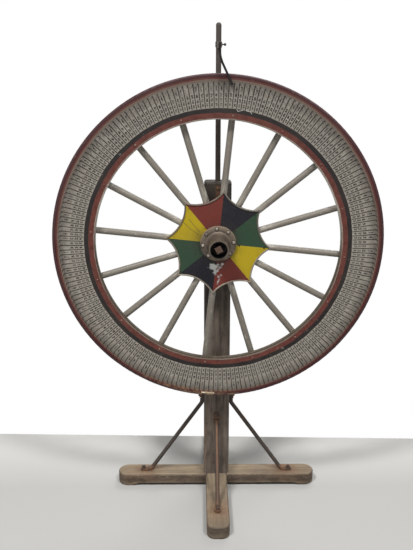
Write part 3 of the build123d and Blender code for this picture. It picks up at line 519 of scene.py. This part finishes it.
def star_finish(paints, name="star_paint", bare_angle=None):
    """Eight fields in four colours, with scratches and one place where the paint has come away."""
    finish = Finish(name, roughness=0.6, specular=0.18)
    radius, angle = finish.polar()[:2]
    turn = finish.calc("DIVIDE", finish.calc("SUBTRACT", angle, SPOKE_PHASE), 2 * math.pi)
    share = finish.calc("FRACT", finish.calc("ADD", turn, 2.0))
    order = (paints.star_red, paints.star_yellow, paints.star_green, paints.star_navy)
    stops = [(index / STAR_POINTS, order[index % len(order)]) for index in range(STAR_POINTS)]
    finish.shade = finish.ramp(share, stops, hard=True)
    cloud = finish.cloud(14, 6, rough=0.6)
    fine = finish.cloud(220, 4, rough=0.65)
    finish.coat(finish.mix(0.55, finish.shade, STAR_DIRT), finish.span(cloud, 0.42, 0.75, 0.0, 0.4))
    finish.coat(STAR_SPECKS, finish.span(fine, 0.60, 0.75, 0.0, 0.22))
    middle = finish.span(radius, 0.062, 0.100, 0.55, 0.0)
    finish.coat(STAR_GRIME, middle, finish.span(cloud, 0.30, 0.60))
    for start, end in STAR_SCRATCHES:
        line = finish.mark(start, end, STAR_FRONT, 0.0006, 0.0007)
        finish.coat(STAR_SCRATCH, line, 0.75)
    chip = finish.cloud(120, 6, rough=0.7, shift=(5, 2, 7))
    ragged = finish.span(chip, 0.2, 0.8, -0.013, 0.013)
    flake, fade = 0.0, 0.03
    for start, end, half in STAR_FLAKES:
        away = finish.calc("SUBTRACT", 1.0, finish.mark(start, end, STAR_FRONT, 0.0, fade))
        gap = finish.calc("ADD", finish.times(away, fade), ragged)
        flake = finish.calc("MAXIMUM", flake, finish.span(gap, half * 0.8, half, 1.0, 0.0))
    finish.coat(paints.undercoat, flake)
    if bare_angle is not None:
        off = finish.calc("ABSOLUTE", finish.calc("SUBTRACT", angle, bare_angle))
        finish.coat(STAR_HOLE, finish.span(off, 0.10, 0.14, 1.0, 0.0))
    return finish.close(finish.weigh(fine, 0.3, flake, -0.7), bump=0.3, depth=0.0006)


def edging_finish(paints):
    """The star's raised edge: pale paint with grime, and painted shade that darkens it above."""
    finish = Finish("star_edging", paints.edging, roughness=0.55, specular=0.35)
    wear = finish.cloud(60, 6, rough=0.65)
    finish.coat(EDGING_GRIME, finish.span(wear, 0.45, 0.68, 0.0, 0.7))
    # Painted shade: darker above, where the bead's top catches less light.
    upper = finish.span(finish.axes()[2], AXLE.z - 0.10, AXLE.z + 0.06, 0.0, 0.75)
    finish.coat(scaled(paints.edging, 0.25), upper)
    return finish.close(wear, bump=0.2, depth=0.0005)


def spoke_finish(woods):
    """Thin grey paint on dowels, streaked along each spoke and rubbed pale in places."""
    finish = Finish("spoke_paint", woods.spoke, roughness=0.42, specular=0.4)
    radius, angle, station = finish.polar()
    round_it = finish.times(angle, 60.0)
    lengthwise = finish.join(finish.times(radius, 9.0), round_it, finish.times(station, 220.0))
    streak = finish.noise(lengthwise, detail=5, rough=0.6)
    patchwise = finish.join(finish.times(radius, 30.0), round_it, station)
    patch = finish.noise(patchwise, detail=4, rough=0.65)
    finish.coat(SPOKE_STREAK, finish.span(streak, 0.35, 0.72, 0.0, 0.55))
    finish.coat(woods.spoke_worn, finish.span(patch, 0.62, 0.70, 0.0, 0.75))
    rusty = finish.cloud(55, 3, shift=(9, 3, 4))
    finish.coat(SPOKE_RUST, finish.span(rusty, 0.70, 0.76, 0.0, 0.7))
    inner = finish.span(radius, 0.165, 0.215, 1.0, 0.0)
    finish.coat(woods.spoke_worn, inner, finish.span(patch, 0.42, 0.6, 0.0, 0.6))
    return finish.close(streak, bump=0.35, depth=0.0008)


def timber_finish(name, light, dark, scale, shift):
    """Weathered timber with its grain along the axis that has the smallest scale, and its height."""
    finish = Finish(name, light, roughness=0.72, specular=0.25)
    grain = finish.noise(finish.spread(scale, shift), detail=7, rough=0.62)
    finer = finish.noise(finish.spread(scaled(scale, 3.2), shift), detail=4, rough=0.6)
    blotch = finish.cloud(7, 5, rough=0.6, shift=shift)
    finish.coat(dark, finish.span(grain, 0.34, 0.66))
    finish.coat(scaled(dark, 0.4), finish.span(finer, 0.40, 0.66, 0.0, 0.55))
    finish.coat(scaled(light, 1.25), finish.span(blotch, 0.45, 0.75, 0.0, 0.4))
    return finish, finish.weigh(grain, 0.7, finer, 0.3)


def post_finish(woods):
    """Post, darker towards the top, with rust under the rod's bolt and up one corner, and mottled."""
    finish, height = timber_finish(
        "post_timber", woods.post, woods.post_dark, (34, 34, 2.2), (0.85, 0.7, 0.1)
    )
    finish.coat(scaled(woods.post_dark, 0.35), finish.span(finish.axes()[2], 0.25, 1.10, 0.0, 0.78))
    front, corner = -0.030, -0.046
    ragged = finish.noise(finish.spread((1, 1, 0.25)), scale=90, detail=4)
    streak = finish.mark((0.0, 1.156), (0.0, 1.120), front, 0.004, 0.012)
    finish.coat(scaled(woods.rust, 0.7), streak, finish.span(ragged, 0.35, 0.6), 0.8)
    streak = finish.mark((corner, 0.09), (corner, 0.27), front, 0.003, 0.012)
    finish.coat(scaled(woods.rust, 0.7), streak, finish.span(ragged, 0.40, 0.62, 0.1, 0.55))
    upright = finish.spread((1, 1, 0.3), shift=(0.3, 0.8, 0.5))
    mottle = finish.noise(upright, scale=75, detail=6, rough=0.7)
    finish.coat(scaled(woods.post_dark, 0.3), finish.span(mottle, 0.48, 0.66, 0.0, 0.5))
    return finish.close(height, bump=0.5, depth=0.0016)


def beam_finish(woods, name, scale, bolts):
    """Worn tan tops, darker sides that are stain and partly painted shade, and rust round the foot
    bolts.
    """
    finish, height = timber_finish(name, woods.beam, scaled(woods.beam, 0.62), scale, (0.2, 0.4, 0.9))
    # The sides differ from the tops by how they face: stain, and partly painted shade.
    normal = finish.put("ShaderNodeNewGeometry").outputs["Normal"]
    facing_up = finish.put("ShaderNodeSeparateXYZ", normal).outputs[2]
    side = finish.span(facing_up, 0.35, 0.85, 1.0, 0.0)
    ragged = finish.cloud(70, 5, rough=0.65)
    rough = finish.noise(finish.spread((14, 14, 40), shift=(0.6, 0.1, 0.3)), detail=6, rough=0.7)
    deep = scaled(woods.beam_side, 0.32)
    side_stain_and_shade = finish.mix(finish.span(rough, 0.40, 0.60), deep, woods.beam_side)
    side_stain_and_shade = finish.mix(finish.span(ragged, 0.56, 0.72, 0.0, 0.55), side_stain_and_shade, woods.beam)
    finish.coat(side_stain_and_shade, side, 0.88)
    worn = finish.cloud(11, 6, rough=0.65, shift=(2, 5, 1))
    finish.coat(woods.beam_side, finish.span(worn, 0.47, 0.64, 0.0, 0.55))
    along, up = finish.axes()[1:]
    edge = finish.times(finish.span(up, 0.040, 0.0445), finish.span(facing_up, 0.86, 0.76))
    finish.coat(BEAM_EDGE, edge, finish.span(ragged, 0.38, 0.60, 0.1, 0.75))
    foot = finish.times(side, finish.span(up, 0.012, 0.021, 0.5, 0.0))
    finish.coat(woods.beam, foot, finish.span(rough, 0.35, 0.60, 0.3, 1.0))
    finish.coat(BEAM_END, finish.span(along, -0.295, -0.350, 0.0, 0.4))
    for bolt in bolts:
        tint, halo = finish.near(bolt, 0.020, 0.095), finish.near(bolt, 0.014, 0.045)
        finish.coat(scaled(woods.rust, 0.9), tint, finish.span(worn, 0.35, 0.60, 0.12, 0.4))
        finish.coat(scaled(woods.rust, 0.5), halo, finish.span(ragged, 0.30, 0.65), 0.85)
    return finish.close(height, bump=0.5, depth=0.0016)


def board_finish(woods):
    """Bare boards behind the ring and the hub, with a lip rubbed above and darkened below by painted
    shade.
    """
    dark = scaled(woods.board, 0.6)
    finish, height = timber_finish("bare_board", woods.board, dark, (40, 12, 4), (0.5, 0.1, 0.3))
    radius, up = finish.polar()[0], finish.axes()[2]
    # Painted shade: the lip is dark below; above it is rubbed pale.
    upper = finish.span(up, AXLE.z - 0.05, AXLE.z + 0.15)
    lip = finish.mix(upper, scaled(woods.board, 0.25), LIP_RUBBED)
    finish.coat(lip, finish.between(radius, 0.412, 0.415, 0.4205, 0.4225), 0.7)
    return finish.close(height, bump=0.35, depth=0.001)


def iron_finish(woods, name, rust_share, shift, rusty_level=0.0):
    """Black iron under brown rust, which is brighter below a level."""
    finish = Finish(name, woods.iron, roughness=0.68, metallic=0.35, specular=0.35)
    cover = finish.cloud(38, 7, rough=0.65, shift=shift)
    grit = finish.cloud(420, 4, rough=0.6, shift=shift)
    finish.coat(woods.rust, finish.span(cover, 0.62 - rust_share, 0.78 - rust_share))
    if rusty_level:
        wet = finish.span(finish.axes()[2], rusty_level, rusty_level + 0.02, 1.0, 0.0)
        finish.coat(scaled(woods.rust, 1.15), wet, finish.span(cover, 0.34, 0.56), 0.75)
    finish.coat(scaled(woods.iron, 0.35), finish.span(grit, 0.5, 0.75, 0.0, 0.45))
    return finish.close(finish.weigh(grit, 0.6, cover, 0.4), bump=0.4, depth=0.0006)


def ridge_finish(woods):
    """Front and rear brace: rust along the middle and on the eye as painted light, darker sides as
    painted shade, and darker towards the foot.
    """
    ground = scaled(woods.iron, 0.8)
    finish = Finish("rusted_brace_painted_light_and_shade", ground, roughness=0.68, metallic=0.35, specular=0.35)
    across, _, up = finish.axes()
    cover = finish.cloud(38, 7, rough=0.65, shift=IRON_SHIFT)
    grit = finish.cloud(420, 4, rough=0.6)
    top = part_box("brace_front")[1].z
    # Painted light: the rust colour lies along the rod's middle and on its eye; the dark sides are
    # painted shade.
    painted_light_on_eye = finish.span(up, top - 0.036, top - 0.030, 0.0, 0.7)
    middle = finish.span(finish.calc("ABSOLUTE", across), 0.0015, 0.0058, 1.0, 0.0)
    rust_and_painted_light = finish.calc("MAXIMUM", painted_light_on_eye, middle)
    level = finish.span(up, 0.09, 0.20, 0.40, 0.72)
    finish.coat(woods.rust, rust_and_painted_light, level, finish.span(cover, 0.30, 0.60, 0.65, 1.0))
    finish.coat(scaled(woods.iron, 0.35), finish.span(grit, 0.5, 0.75, 0.0, 0.4))
    foot = finish.span(up, BRACE_FOOT, BRACE_FOOT + 0.020, 0.75, 0.0)
    finish.coat(scaled(woods.rust, 1.15), foot, finish.span(cover, 0.34, 0.56))
    return finish.close(finish.weigh(grit, 0.6, cover, 0.4), bump=0.4, depth=0.0006)


def hub_finish(woods):
    """Bare grey casting with a sandy skin, painted highlights on the flange, darker rings round bolts,
    and grease and painted shade in the bore.
    """
    finish = Finish("hub_casting", woods.hub, roughness=0.55, metallic=0.45, specular=0.4)
    radius, angle, station = finish.polar()
    up = finish.axes()[2]
    cloud = finish.cloud(24, 6, rough=0.6)
    sand = finish.cloud(520, 3, rough=0.6)
    finish.coat(woods.hub_dark, finish.span(cloud, 0.38, 0.68))
    finish.coat(woods.hub_dark, finish.span(sand, 0.45, 0.7, 0.0, 0.35))
    # Painted highlights: the flange's top and its rim above the axle are lightened.
    upper = finish.span(up, AXLE.z + 0.005, AXLE.z + 0.055)
    finish.coat(scaled(woods.hub, 1.7), finish.span(radius, 0.046, 0.052), upper, 0.8)
    upper = finish.span(up, AXLE.z - 0.01, AXLE.z + 0.03)
    finish.coat(scaled(woods.hub, 3.0), finish.span(radius, 0.0588, 0.0600), upper, 0.5)
    # Darker rings round the bolt heads.
    step = 2 * math.pi / BOLT_COUNT
    turn = finish.calc("SUBTRACT", angle, SPOKE_PHASE - 8.5 * step)
    share = finish.calc("FRACT", finish.calc("DIVIDE", turn, step))
    side = finish.times(finish.calc("SUBTRACT", share, 0.75), step * BOLT_CIRCLE)
    gap = finish.calc("SUBTRACT", radius, BOLT_CIRCLE)
    gap = finish.calc("SQRT", finish.calc("ADD", finish.times(side, side), finish.times(gap, gap)))
    finish.coat(BOLT_RING_DARK, finish.span(gap, 0.0068, 0.0088, 0.75, 0.0))
    # Grease and painted shade: the bore's walls go nearly black.
    bore = finish.span(radius, 0.0286, 0.0292, 1.0, 0.0)
    finish.coat(BORE_GREASE_AND_SHADE, bore, finish.span(station, -0.110, -0.135))
    return finish.close(finish.weigh(sand, 0.7, cloud, 0.3), bump=0.35, depth=0.0006)


def axle_finish():
    """The axle's head: rusty brown on its face, and painted shadow behind it."""
    finish = Finish("axle_rust_and_painted_shadow", AXLE_RUST, roughness=0.75, metallic=0.2, specular=0.3)
    cover = finish.cloud(160, 6, rough=0.65)
    finish.coat(AXLE_DARK, finish.span(cover, 0.40, 0.65))
    # Painted shadow: inside the bore, behind the head, all is nearly black.
    finish.coat(AXLE_SHADOW, finish.span(finish.axes()[1], -0.1925, -0.1905, 0.0, 0.9))
    return finish.close(cover, bump=0.4, depth=0.0006)


def spotted_finish(name, bright, dull, scale, detail, spots, **shine):
    """Small metal parts: two shades in spots."""
    finish = Finish(name, bright, **shine)
    spot = finish.cloud(scale, detail)
    finish.coat(dull, finish.span(spot, *spots))
    return finish.close(spot, bump=0.2, depth=0.0003)


def wire_finish(name):
    """Dull steel wire."""
    shine = {"roughness": 0.55, "metallic": 0.4, "specular": 0.4}
    return spotted_finish(name, *WIRE_SHADES, 90, 4, (0.4, 0.65), **shine)


def nail_finish(name, bright, dull):
    """Rubbed heads of nails or bolts, bright in places."""
    shine = {"roughness": 0.45, "metallic": 0.3, "specular": 0.45}
    return spotted_finish(name, bright, dull, 40, 3, (0.42, 0.60), **shine)


def bronze_finish(woods):
    """Oily bronze."""
    dull, shine = scaled(woods.bronze, 0.4), {"roughness": 0.4, "metallic": 0.85}
    return spotted_finish("oily_bronze", woods.bronze, dull, 120, 4, (0.4, 0.7), **shine)


def leather_finish(woods):
    """Black leather with a pebbled grain."""
    finish = Finish("black_leather", woods.leather, roughness=0.7, specular=0.15)
    cells = finish.put("ShaderNodeTexVoronoi", finish.spread((1, 1, 0.6)))
    cells.inputs["Scale"].default_value = 900
    finish.coat(LEATHER_DULL, finish.span(finish.cloud(80, 5), 0.4, 0.7, 0.0, 0.7))
    return finish.close(cells.outputs["Distance"], bump=0.4, depth=0.0004)


# Pieces


class PRIZEWHEEL_OT_ring(bpy.types.Operator):
    """Paints the ring and draws its cell lines and figures"""

    bl_idname = "prizewheel.ring"
    bl_label = "Ring"

    def execute(self, context):
        paints = context.scene.prize_wheel_paint
        sizes = context.scene.prize_wheel_sizes
        boards = board_finish(context.scene.prize_wheel_materials)
        paint(ring_finish(paints), "face_ring")
        paint(rim_finish(paints), "rim_band")
        paint(boards, "backing_segments", "back_disc", "hub_block")
        ink = ink_finish(paints)
        self.draw_lines(sizes, ink)
        self.draw_figures(sizes, ink)
        return {"FINISHED"}

    def draw_lines(self, sizes, ink):
        """One thin bar of ink from the black band to each pin."""
        shape = bmesh.new()
        reach = sizes.line_outer - sizes.line_inner
        bar = bmesh.ops.create_cube(shape, size=1.0)
        bmesh.ops.scale(shape, vec=(sizes.line_width, reach, 2 * sizes.paint_lift), verts=bar["verts"])
        place = upright_on_wheel((sizes.line_inner + sizes.line_outer) / 2, PIN_PHASE, FACE_FRONT)
        bmesh.ops.transform(shape, matrix=place, verts=bar["verts"])
        geom = shape.verts[:] + shape.edges[:] + shape.faces[:]
        steps, axis = PIN_COUNT - 1, (0.0, -1.0, 0.0)
        angle = 2 * math.pi * steps / PIN_COUNT
        bmesh.ops.spin(
            shape, geom=geom, cent=AXLE, axis=axis, angle=angle, steps=steps, use_duplicate=True
        )
        piece("cell_lines", mesh_from("cell_lines", shape), ink, "wheel")

    def draw_figures(self, sizes, ink):
        """Plain numbers in every cell: three small rows, and a large one in half of the cells."""
        shape = bmesh.new()
        pitch = 2 * math.pi / PIN_COUNT
        for cell in range(PIN_COUNT):
            angle = PIN_PHASE + (cell + 0.5) * pitch
            number = PIN_COUNT - cell
            rows = [
                (str(number * 7 % 90 + 10), sizes.small_figure, sizes.small_radius),
                (str(number % 90 + 10), sizes.middle_figure, sizes.middle_radius),
                (str(number * 11 % 90 + 10), sizes.middle_figure, sizes.upper_radius),
            ]
            if cell % 4 in (1, 2):
                rows.append((str(number * 3 % 9 + 1), sizes.large_figure, sizes.large_radius))
            for text, height, radius in rows:
                place = upright_on_wheel(radius, angle, FACE_FRONT - sizes.paint_lift)
                self.set_figure(shape, text, height, place)
        piece("ring_figures", mesh_from("ring_figures", shape), ink, "wheel")

    def set_figure(self, shape, text, height, place):
        """One number as flat ink, centred on its place."""
        words = bpy.data.curves.new("figure", "FONT")
        words.body = text
        words.size = height * TYPE_SIZE
        words.align_x = "CENTER"
        words.align_y = "CENTER"
        words.resolution_u = 1
        words.offset = height * TYPE_WEIGHT
        holder = bpy.data.objects.new("figure", words)
        flat = bpy.data.meshes.new_from_object(holder)
        flat.transform(place @ Matrix.Diagonal((TYPE_NARROW, 1.0, 1.0, 1.0)))
        shape.from_mesh(flat)
        bpy.data.objects.remove(holder)
        bpy.data.curves.remove(words)
        bpy.data.meshes.remove(flat)


class PRIZEWHEEL_OT_star(bpy.types.Operator):
    """Paints the star and raises its edge"""

    bl_idname = "prizewheel.star"
    bl_label = "Star"

    def execute(self, context):
        paints = context.scene.prize_wheel_paint
        sizes = context.scene.prize_wheel_sizes
        paint(star_finish(paints), "star_plate")
        paint(star_finish(paints, "star_screw_paint", SPOKE_PHASE - math.pi / 2), "star_screws")
        bead = bpy.data.curves.new("star_edging", "CURVE")
        bead.dimensions = "3D"
        bead.bevel_depth = sizes.edging_width / 2
        bead.bevel_resolution = 2
        bead.use_fill_caps = False
        points = self.outline(sizes, STAR_ARC_CUTS)
        line = bead.splines.new("POLY")
        line.points.add(len(points) - 1)
        for place, point in zip(line.points, points):
            place.co = (*point, 1.0)
        line.use_cyclic_u = True
        holder = bpy.data.objects.new("star_edging", bead)
        mesh = bpy.data.meshes.new_from_object(holder)
        bpy.data.objects.remove(holder)
        bpy.data.curves.remove(bead)
        piece("star_edging", mesh, edging_finish(paints), "wheel")
        return {"FINISHED"}

    def outline(self, sizes, cuts):
        """The star's outline on its front: hollow arcs from point to point."""
        half = math.pi / STAR_POINTS
        inset = sizes.edging_width / 2
        front = STAR_FRONT - sizes.edging_height / 2
        point, waist = STAR_RADIUS - inset, STAR_WAIST - inset
        corner = Vector((point * math.cos(half), point * math.sin(half)))
        centre = (corner.length_squared - waist**2) / (2 * (corner.x - waist))
        bend = abs(centre - waist)
        sweep = math.asin(corner.y / bend)
        points = []
        for edge in range(STAR_POINTS):
            middle = SPOKE_PHASE + (2 * edge + 1) * half
            for cut in range(cuts):
                turn = sweep * (2 * cut / cuts - 1)
                away = centre - math.copysign(bend * math.cos(turn), centre - waist)
                side = bend * math.sin(turn)
                angle = middle + math.atan2(side, away)
                points.append(on_wheel(math.hypot(side, away), angle, front))
        return points


class PRIZEWHEEL_OT_spokes(bpy.types.Operator):
    """Paints the spokes, the pins and the nails"""

    bl_idname = "prizewheel.spokes"
    bl_label = "Spokes, pins and nails"

    def execute(self, context):
        woods = context.scene.prize_wheel_materials
        spokes = [name for name in NODES if name.startswith("spoke_") and name != "spoke_nails"]
        paint(spoke_finish(woods), *spokes)
        paint(wire_finish("dull_wire"), "pins")
        paint(nail_finish("rubbed_nails", *NAIL_SHADES), "spoke_nails")
        return {"FINISHED"}


class PRIZEWHEEL_OT_hub(bpy.types.Operator):
    """Finishes the hub, its bolts, bushes and axle"""

    bl_idname = "prizewheel.hub"
    bl_label = "Hub and axle"

    def execute(self, context):
        woods = context.scene.prize_wheel_materials
        paint(hub_finish(woods), "hub", "flange_nuts", "hub_rear_plate")
        paint(nail_finish("flange_bolt_heads", *BOLT_SHADES), "flange_bolts")
        inside = ("nose_spacer", "retaining_washer", "axle_sleeve", "rear_spacer")
        paint(axle_finish(), "axle_bolt", *inside)
        paint(bronze_finish(woods), "front_bush", "rear_bush")
        return {"FINISHED"}


class PRIZEWHEEL_OT_stand(bpy.types.Operator):
    """Finishes the post, the cross base and the ironwork"""

    bl_idname = "prizewheel.stand"
    bl_label = "Stand"

    def execute(self, context):
        woods = context.scene.prize_wheel_materials
        paint(post_finish(woods), "post")
        low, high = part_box("foot_washers")
        reach = (high.x - low.x) / 2 - WASHER_RADIUS
        for beam, scale, bolt in (
            ("side_beam", (1.6, 34, 34), Vector((reach, 0, low.z))),
            ("cross_beam", (34, 1.6, 34), Vector((0, reach, low.z))),
        ):
            opposite = Vector((-bolt.x, -bolt.y, bolt.z))
            paint(beam_finish(woods, beam + "_timber", scale, (bolt, opposite)), beam)
        rods = iron_finish(woods, "brace_iron", 0.04, IRON_SHIFT, BRACE_FOOT)
        paint(rods, "brace_left", "brace_right", "foot_washers")
        paint(ridge_finish(woods), "brace_front", "brace_rear")
        pointer = iron_finish(woods, "pointer_iron", -0.06, IRON_SHIFT)
        paint(pointer, "pointer_rod", "pointer_arm", "flapper_keeper")
        small = iron_finish(woods, "rusted_fixings", 0.14, (0.9, 0.5, 0.1))
        paint(small, "brace_studs", "brace_nuts", "brace_washers", "foot_bolts", "foot_nuts")
        paint(small, "rod_bolt", "rod_bolt_nut", "axle_nut", "post_plates")
        paint(wire_finish("dull_fixings"), "thumbscrew", "flapper_rivets")
        return {"FINISHED"}


class PRIZEWHEEL_OT_flapper(bpy.types.Operator):
    """Makes the leather flapper, which bends below the arm"""

    bl_idname = "prizewheel.flapper"
    bl_label = "Flapper"

    def execute(self, context):
        woods = context.scene.prize_wheel_materials
        sizes = context.scene.prize_wheel_sizes
        shape = bmesh.new()
        width = FLAPPER_HIGH.y - FLAPPER_LOW.y
        bar = bmesh.ops.create_cube(shape, size=1.0)
        bmesh.ops.scale(shape, vec=(FLAPPER_THICK, width, 1.0), verts=bar["verts"])
        section = {"offset": FLAPPER_ROUND, "offset_type": "OFFSET", "segments": 2, "profile": 0.5}
        bmesh.ops.bevel(shape, geom=shape.edges[:], affect="EDGES", material=-1, **section)
        upright = [
            edge for edge in shape.edges if abs(edge.verts[0].co.z - edge.verts[1].co.z) > 0.5
        ]
        bmesh.ops.subdivide_edges(shape, edges=upright, cuts=sizes.flapper_rings, use_grid_fill=True)
        middle = (FLAPPER_LOW.y + FLAPPER_HIGH.y) / 2
        for vertex in shape.verts:
            place, across = self.line(0.5 - vertex.co.z)
            vertex.co = place + across * vertex.co.x + Vector((0.0, middle + vertex.co.y, 0.0))
        bmesh.ops.recalc_face_normals(shape, faces=shape.faces)
        mesh = mesh_from("flapper_strip", shape)
        for face in mesh.polygons:
            face.use_smooth = True
        strip = piece("flapper_strip", mesh, leather_finish(woods), None)
        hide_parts("flapper")
        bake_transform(strip)
        return {"FINISHED"}

    def line(self, share):
        """The place along the flapper's bent line, and the direction across it."""
        root = Vector((FLEX["pos_m"][0], 0.0, FLAPPER_HIGH.z))
        below_arm, above_tip = 0.002, 0.0009
        straight = FLAPPER_HIGH.z - ARM_BOTTOM + below_arm
        bend, lean = FLAPPER_BEND, FLAPPER_LEAN
        tip = FLAPPER_LOW.z + above_tip
        tail = (root.z - straight - bend * math.sin(lean) - tip) / math.cos(lean)
        gone = share * (straight + bend * lean + tail)
        if gone < straight:
            return root - Vector((0, 0, gone)), Vector((1, 0, 0))
        turn = min((gone - straight) / bend, lean)
        place = root + Vector((bend * (1 - math.cos(turn)), 0, -straight - bend * math.sin(turn)))
        rest = max(gone - straight - bend * lean, 0.0)
        place += rest * Vector((math.sin(turn), 0, -math.cos(turn)))
        return place, Vector((math.cos(turn), 0, math.sin(turn)))


class PRIZEWHEEL_OT_stage(bpy.types.Operator):
    """Sets the floor, the background, the lights and the camera"""

    bl_idname = "prizewheel.stage"
    bl_label = "Stage"

    def execute(self, context):
        scene = context.scene
        scene.view_settings.view_transform = "Standard"
        self.floor(scene)
        self.world(scene)
        for name, place, target, size, power in (
            ("key", (-2.0, -2.7, 5.8), (0.0, -0.1, 0.9), 0.9, 265),
            ("second_key", (1.6, -2.7, 5.8), (0.0, -0.1, 0.9), 0.9, 200),
            ("fill", (-0.8, -3.2, 0.6), (0.0, 0.0, 0.5), 1.6, 10),
            ("back", (1.0, 2.6, 3.6), (0.0, 0.0, 0.9), 2.0, 60),
        ):
            self.lamp(scene, name, place, target, size, power)
        self.camera(scene)
        return {"FINISHED"}

    def seen(self, tree):
        """1 for rays that show the background: to the camera, in gloss or through glass."""
        path = tree.nodes.new("ShaderNodeLightPath")
        share = path.outputs["Is Camera Ray"]
        for kind in ("Is Glossy Ray", "Is Transmission Ray"):
            step = tree.nodes.new("ShaderNodeMath")
            step.operation = "MAXIMUM"
            tree.links.new(share, step.inputs[0])
            tree.links.new(path.outputs[kind], step.inputs[1])
            share = step.outputs[0]
        return share

    def floor(self, scene):
        """A pale floor, painted lighter behind where the wheel's shadow falls, that ends in white at
        the wall's foot and far away.
        """
        shape = bmesh.new()
        bmesh.ops.create_grid(shape, x_segments=1, y_segments=1, size=5.0)
        sheet = bpy.data.objects.new("stage_floor", mesh_from("stage_floor", shape))
        scene.collection.objects.link(sheet)
        pale = srgb(176, 175, 172)
        finish = Finish("stage_floor", pale, roughness=0.9, specular=0.1)
        across, along = finish.axes()[:2]
        cloud = finish.cloud(1.7, 4)
        # Painted light: the floor is paler behind, where the wheel's shadow falls.
        finish.coat(scaled(pale, 1.3), finish.span(along, -0.05, 0.25))
        finish.coat(scaled(pale, 0.8), finish.span(cloud, 0.3, 0.7, 0.0, 0.10))
        finish.close()
        behind = finish.span(finish.calc("MULTIPLY_ADD", across, 0.031, along), 0.339, 0.343)
        near = finish.near((0.0, 0.0, 0.0), 2.2, 3.4)
        white = finish.calc("MAXIMUM", behind, finish.calc("SUBTRACT", 1.0, near))
        light = finish.put("ShaderNodeEmission", (1.0, 1.0, 1.0))
        share = finish.times(white, self.seen(finish.tree))
        surface = finish.shader.outputs[0]
        blend = finish.put("ShaderNodeMixShader", share, surface, light.outputs[0])
        finish.feed(finish.tree.nodes["Material Output"].inputs["Surface"], blend.outputs[0])
        sheet.data.materials.append(finish.material)

    def world(self, scene):
        """Soft light from all round, in front of a white background."""
        scene.world = bpy.data.worlds.new("studio")
        scene.world.use_nodes = True
        tree = scene.world.node_tree
        soft = tree.nodes["Background"]
        soft.inputs["Color"].default_value = (1.0, 1.0, 1.0, 1.0)
        soft.inputs["Strength"].default_value = 0.26
        white = tree.nodes.new("ShaderNodeBackground")
        white.inputs["Color"].default_value = (1.0, 1.0, 1.0, 1.0)
        blend = tree.nodes.new("ShaderNodeMixShader")
        tree.links.new(self.seen(tree), blend.inputs[0])
        tree.links.new(soft.outputs[0], blend.inputs[1])
        tree.links.new(white.outputs[0], blend.inputs[2])
        tree.links.new(blend.outputs[0], tree.nodes["World Output"].inputs["Surface"])

    def lamp(self, scene, name, place, target, size, power):
        """A square soft light that looks at a target."""
        light = bpy.data.lights.new(name, "AREA")
        light.shape = "SQUARE"
        light.size = size
        light.energy = power
        holder = bpy.data.objects.new(name, light)
        holder.location = place
        holder.rotation_euler = (Vector(target) - Vector(place)).to_track_quat("-Z", "Y").to_euler()
        scene.collection.objects.link(holder)

    def camera(self, scene):
        """The photograph's point of view."""
        place = (-0.06954, -2.63284, 1.64766)
        pitch, yaw, roll = 0.29918, 0.01181, -0.00193
        focal, rows = 768.96, 550
        level = math.cos(pitch)
        forward = Vector((math.sin(yaw) * level, math.cos(yaw) * level, -math.sin(pitch)))
        right = Vector((math.cos(yaw), -math.sin(yaw), 0.0))
        down = forward.cross(right)
        across = math.cos(roll) * right + math.sin(roll) * down
        below = -math.sin(roll) * right + math.cos(roll) * down
        view = bpy.data.cameras.new("camera")
        view.sensor_fit = "VERTICAL"
        view.sensor_height = 24.0
        view.lens = focal * view.sensor_height / rows
        view.clip_end = 50.0
        holder = bpy.data.objects.new("camera", view)
        turn = Matrix((across, -below, -forward)).transposed().to_4x4()
        holder.matrix_world = Matrix.Translation(place) @ turn
        scene.collection.objects.link(holder)
        scene.camera = holder


class PRIZEWHEEL_PT_panel(bpy.types.Panel):
    """Lists the pieces and their settings in the sidebar"""

    bl_idname = "PRIZEWHEEL_PT_panel"
    bl_label = "Prize Wheel"
    bl_space_type = "VIEW_3D"
    bl_region_type = "UI"
    bl_category = "Prize Wheel"

    def draw(self, context):
        for operator in OPERATORS:
            self.layout.operator(operator.bl_idname)
        for group in ("prize_wheel_paint", "prize_wheel_materials", "prize_wheel_sizes"):
            settings = getattr(context.scene, group)
            for key in settings.__annotations__:
                self.layout.prop(settings, key)


OPERATORS = (
    PRIZEWHEEL_OT_ring,
    PRIZEWHEEL_OT_star,
    PRIZEWHEEL_OT_spokes,
    PRIZEWHEEL_OT_hub,
    PRIZEWHEEL_OT_stand,
    PRIZEWHEEL_OT_flapper,
    PRIZEWHEEL_OT_stage,
)
CLASSES = (PrizeWheelPaint, PrizeWheelMaterials, PrizeWheelSizes, *OPERATORS, PRIZEWHEEL_PT_panel)


def register():
    for cls in CLASSES:
        bpy.utils.register_class(cls)
    bpy.types.Scene.prize_wheel_paint = PointerProperty(type=PrizeWheelPaint)
    bpy.types.Scene.prize_wheel_materials = PointerProperty(type=PrizeWheelMaterials)
    bpy.types.Scene.prize_wheel_sizes = PointerProperty(type=PrizeWheelSizes)


def unregister():
    del bpy.types.Scene.prize_wheel_sizes
    del bpy.types.Scene.prize_wheel_materials
    del bpy.types.Scene.prize_wheel_paint
    for cls in reversed(CLASSES):
        bpy.utils.unregister_class(cls)


def main():
    register()
    bpy.ops.prizewheel.ring()
    bpy.ops.prizewheel.star()
    bpy.ops.prizewheel.spokes()
    bpy.ops.prizewheel.hub()
    bpy.ops.prizewheel.stand()
    bpy.ops.prizewheel.flapper()
    bpy.ops.prizewheel.stage()


if __name__ == "__main__":
    main()
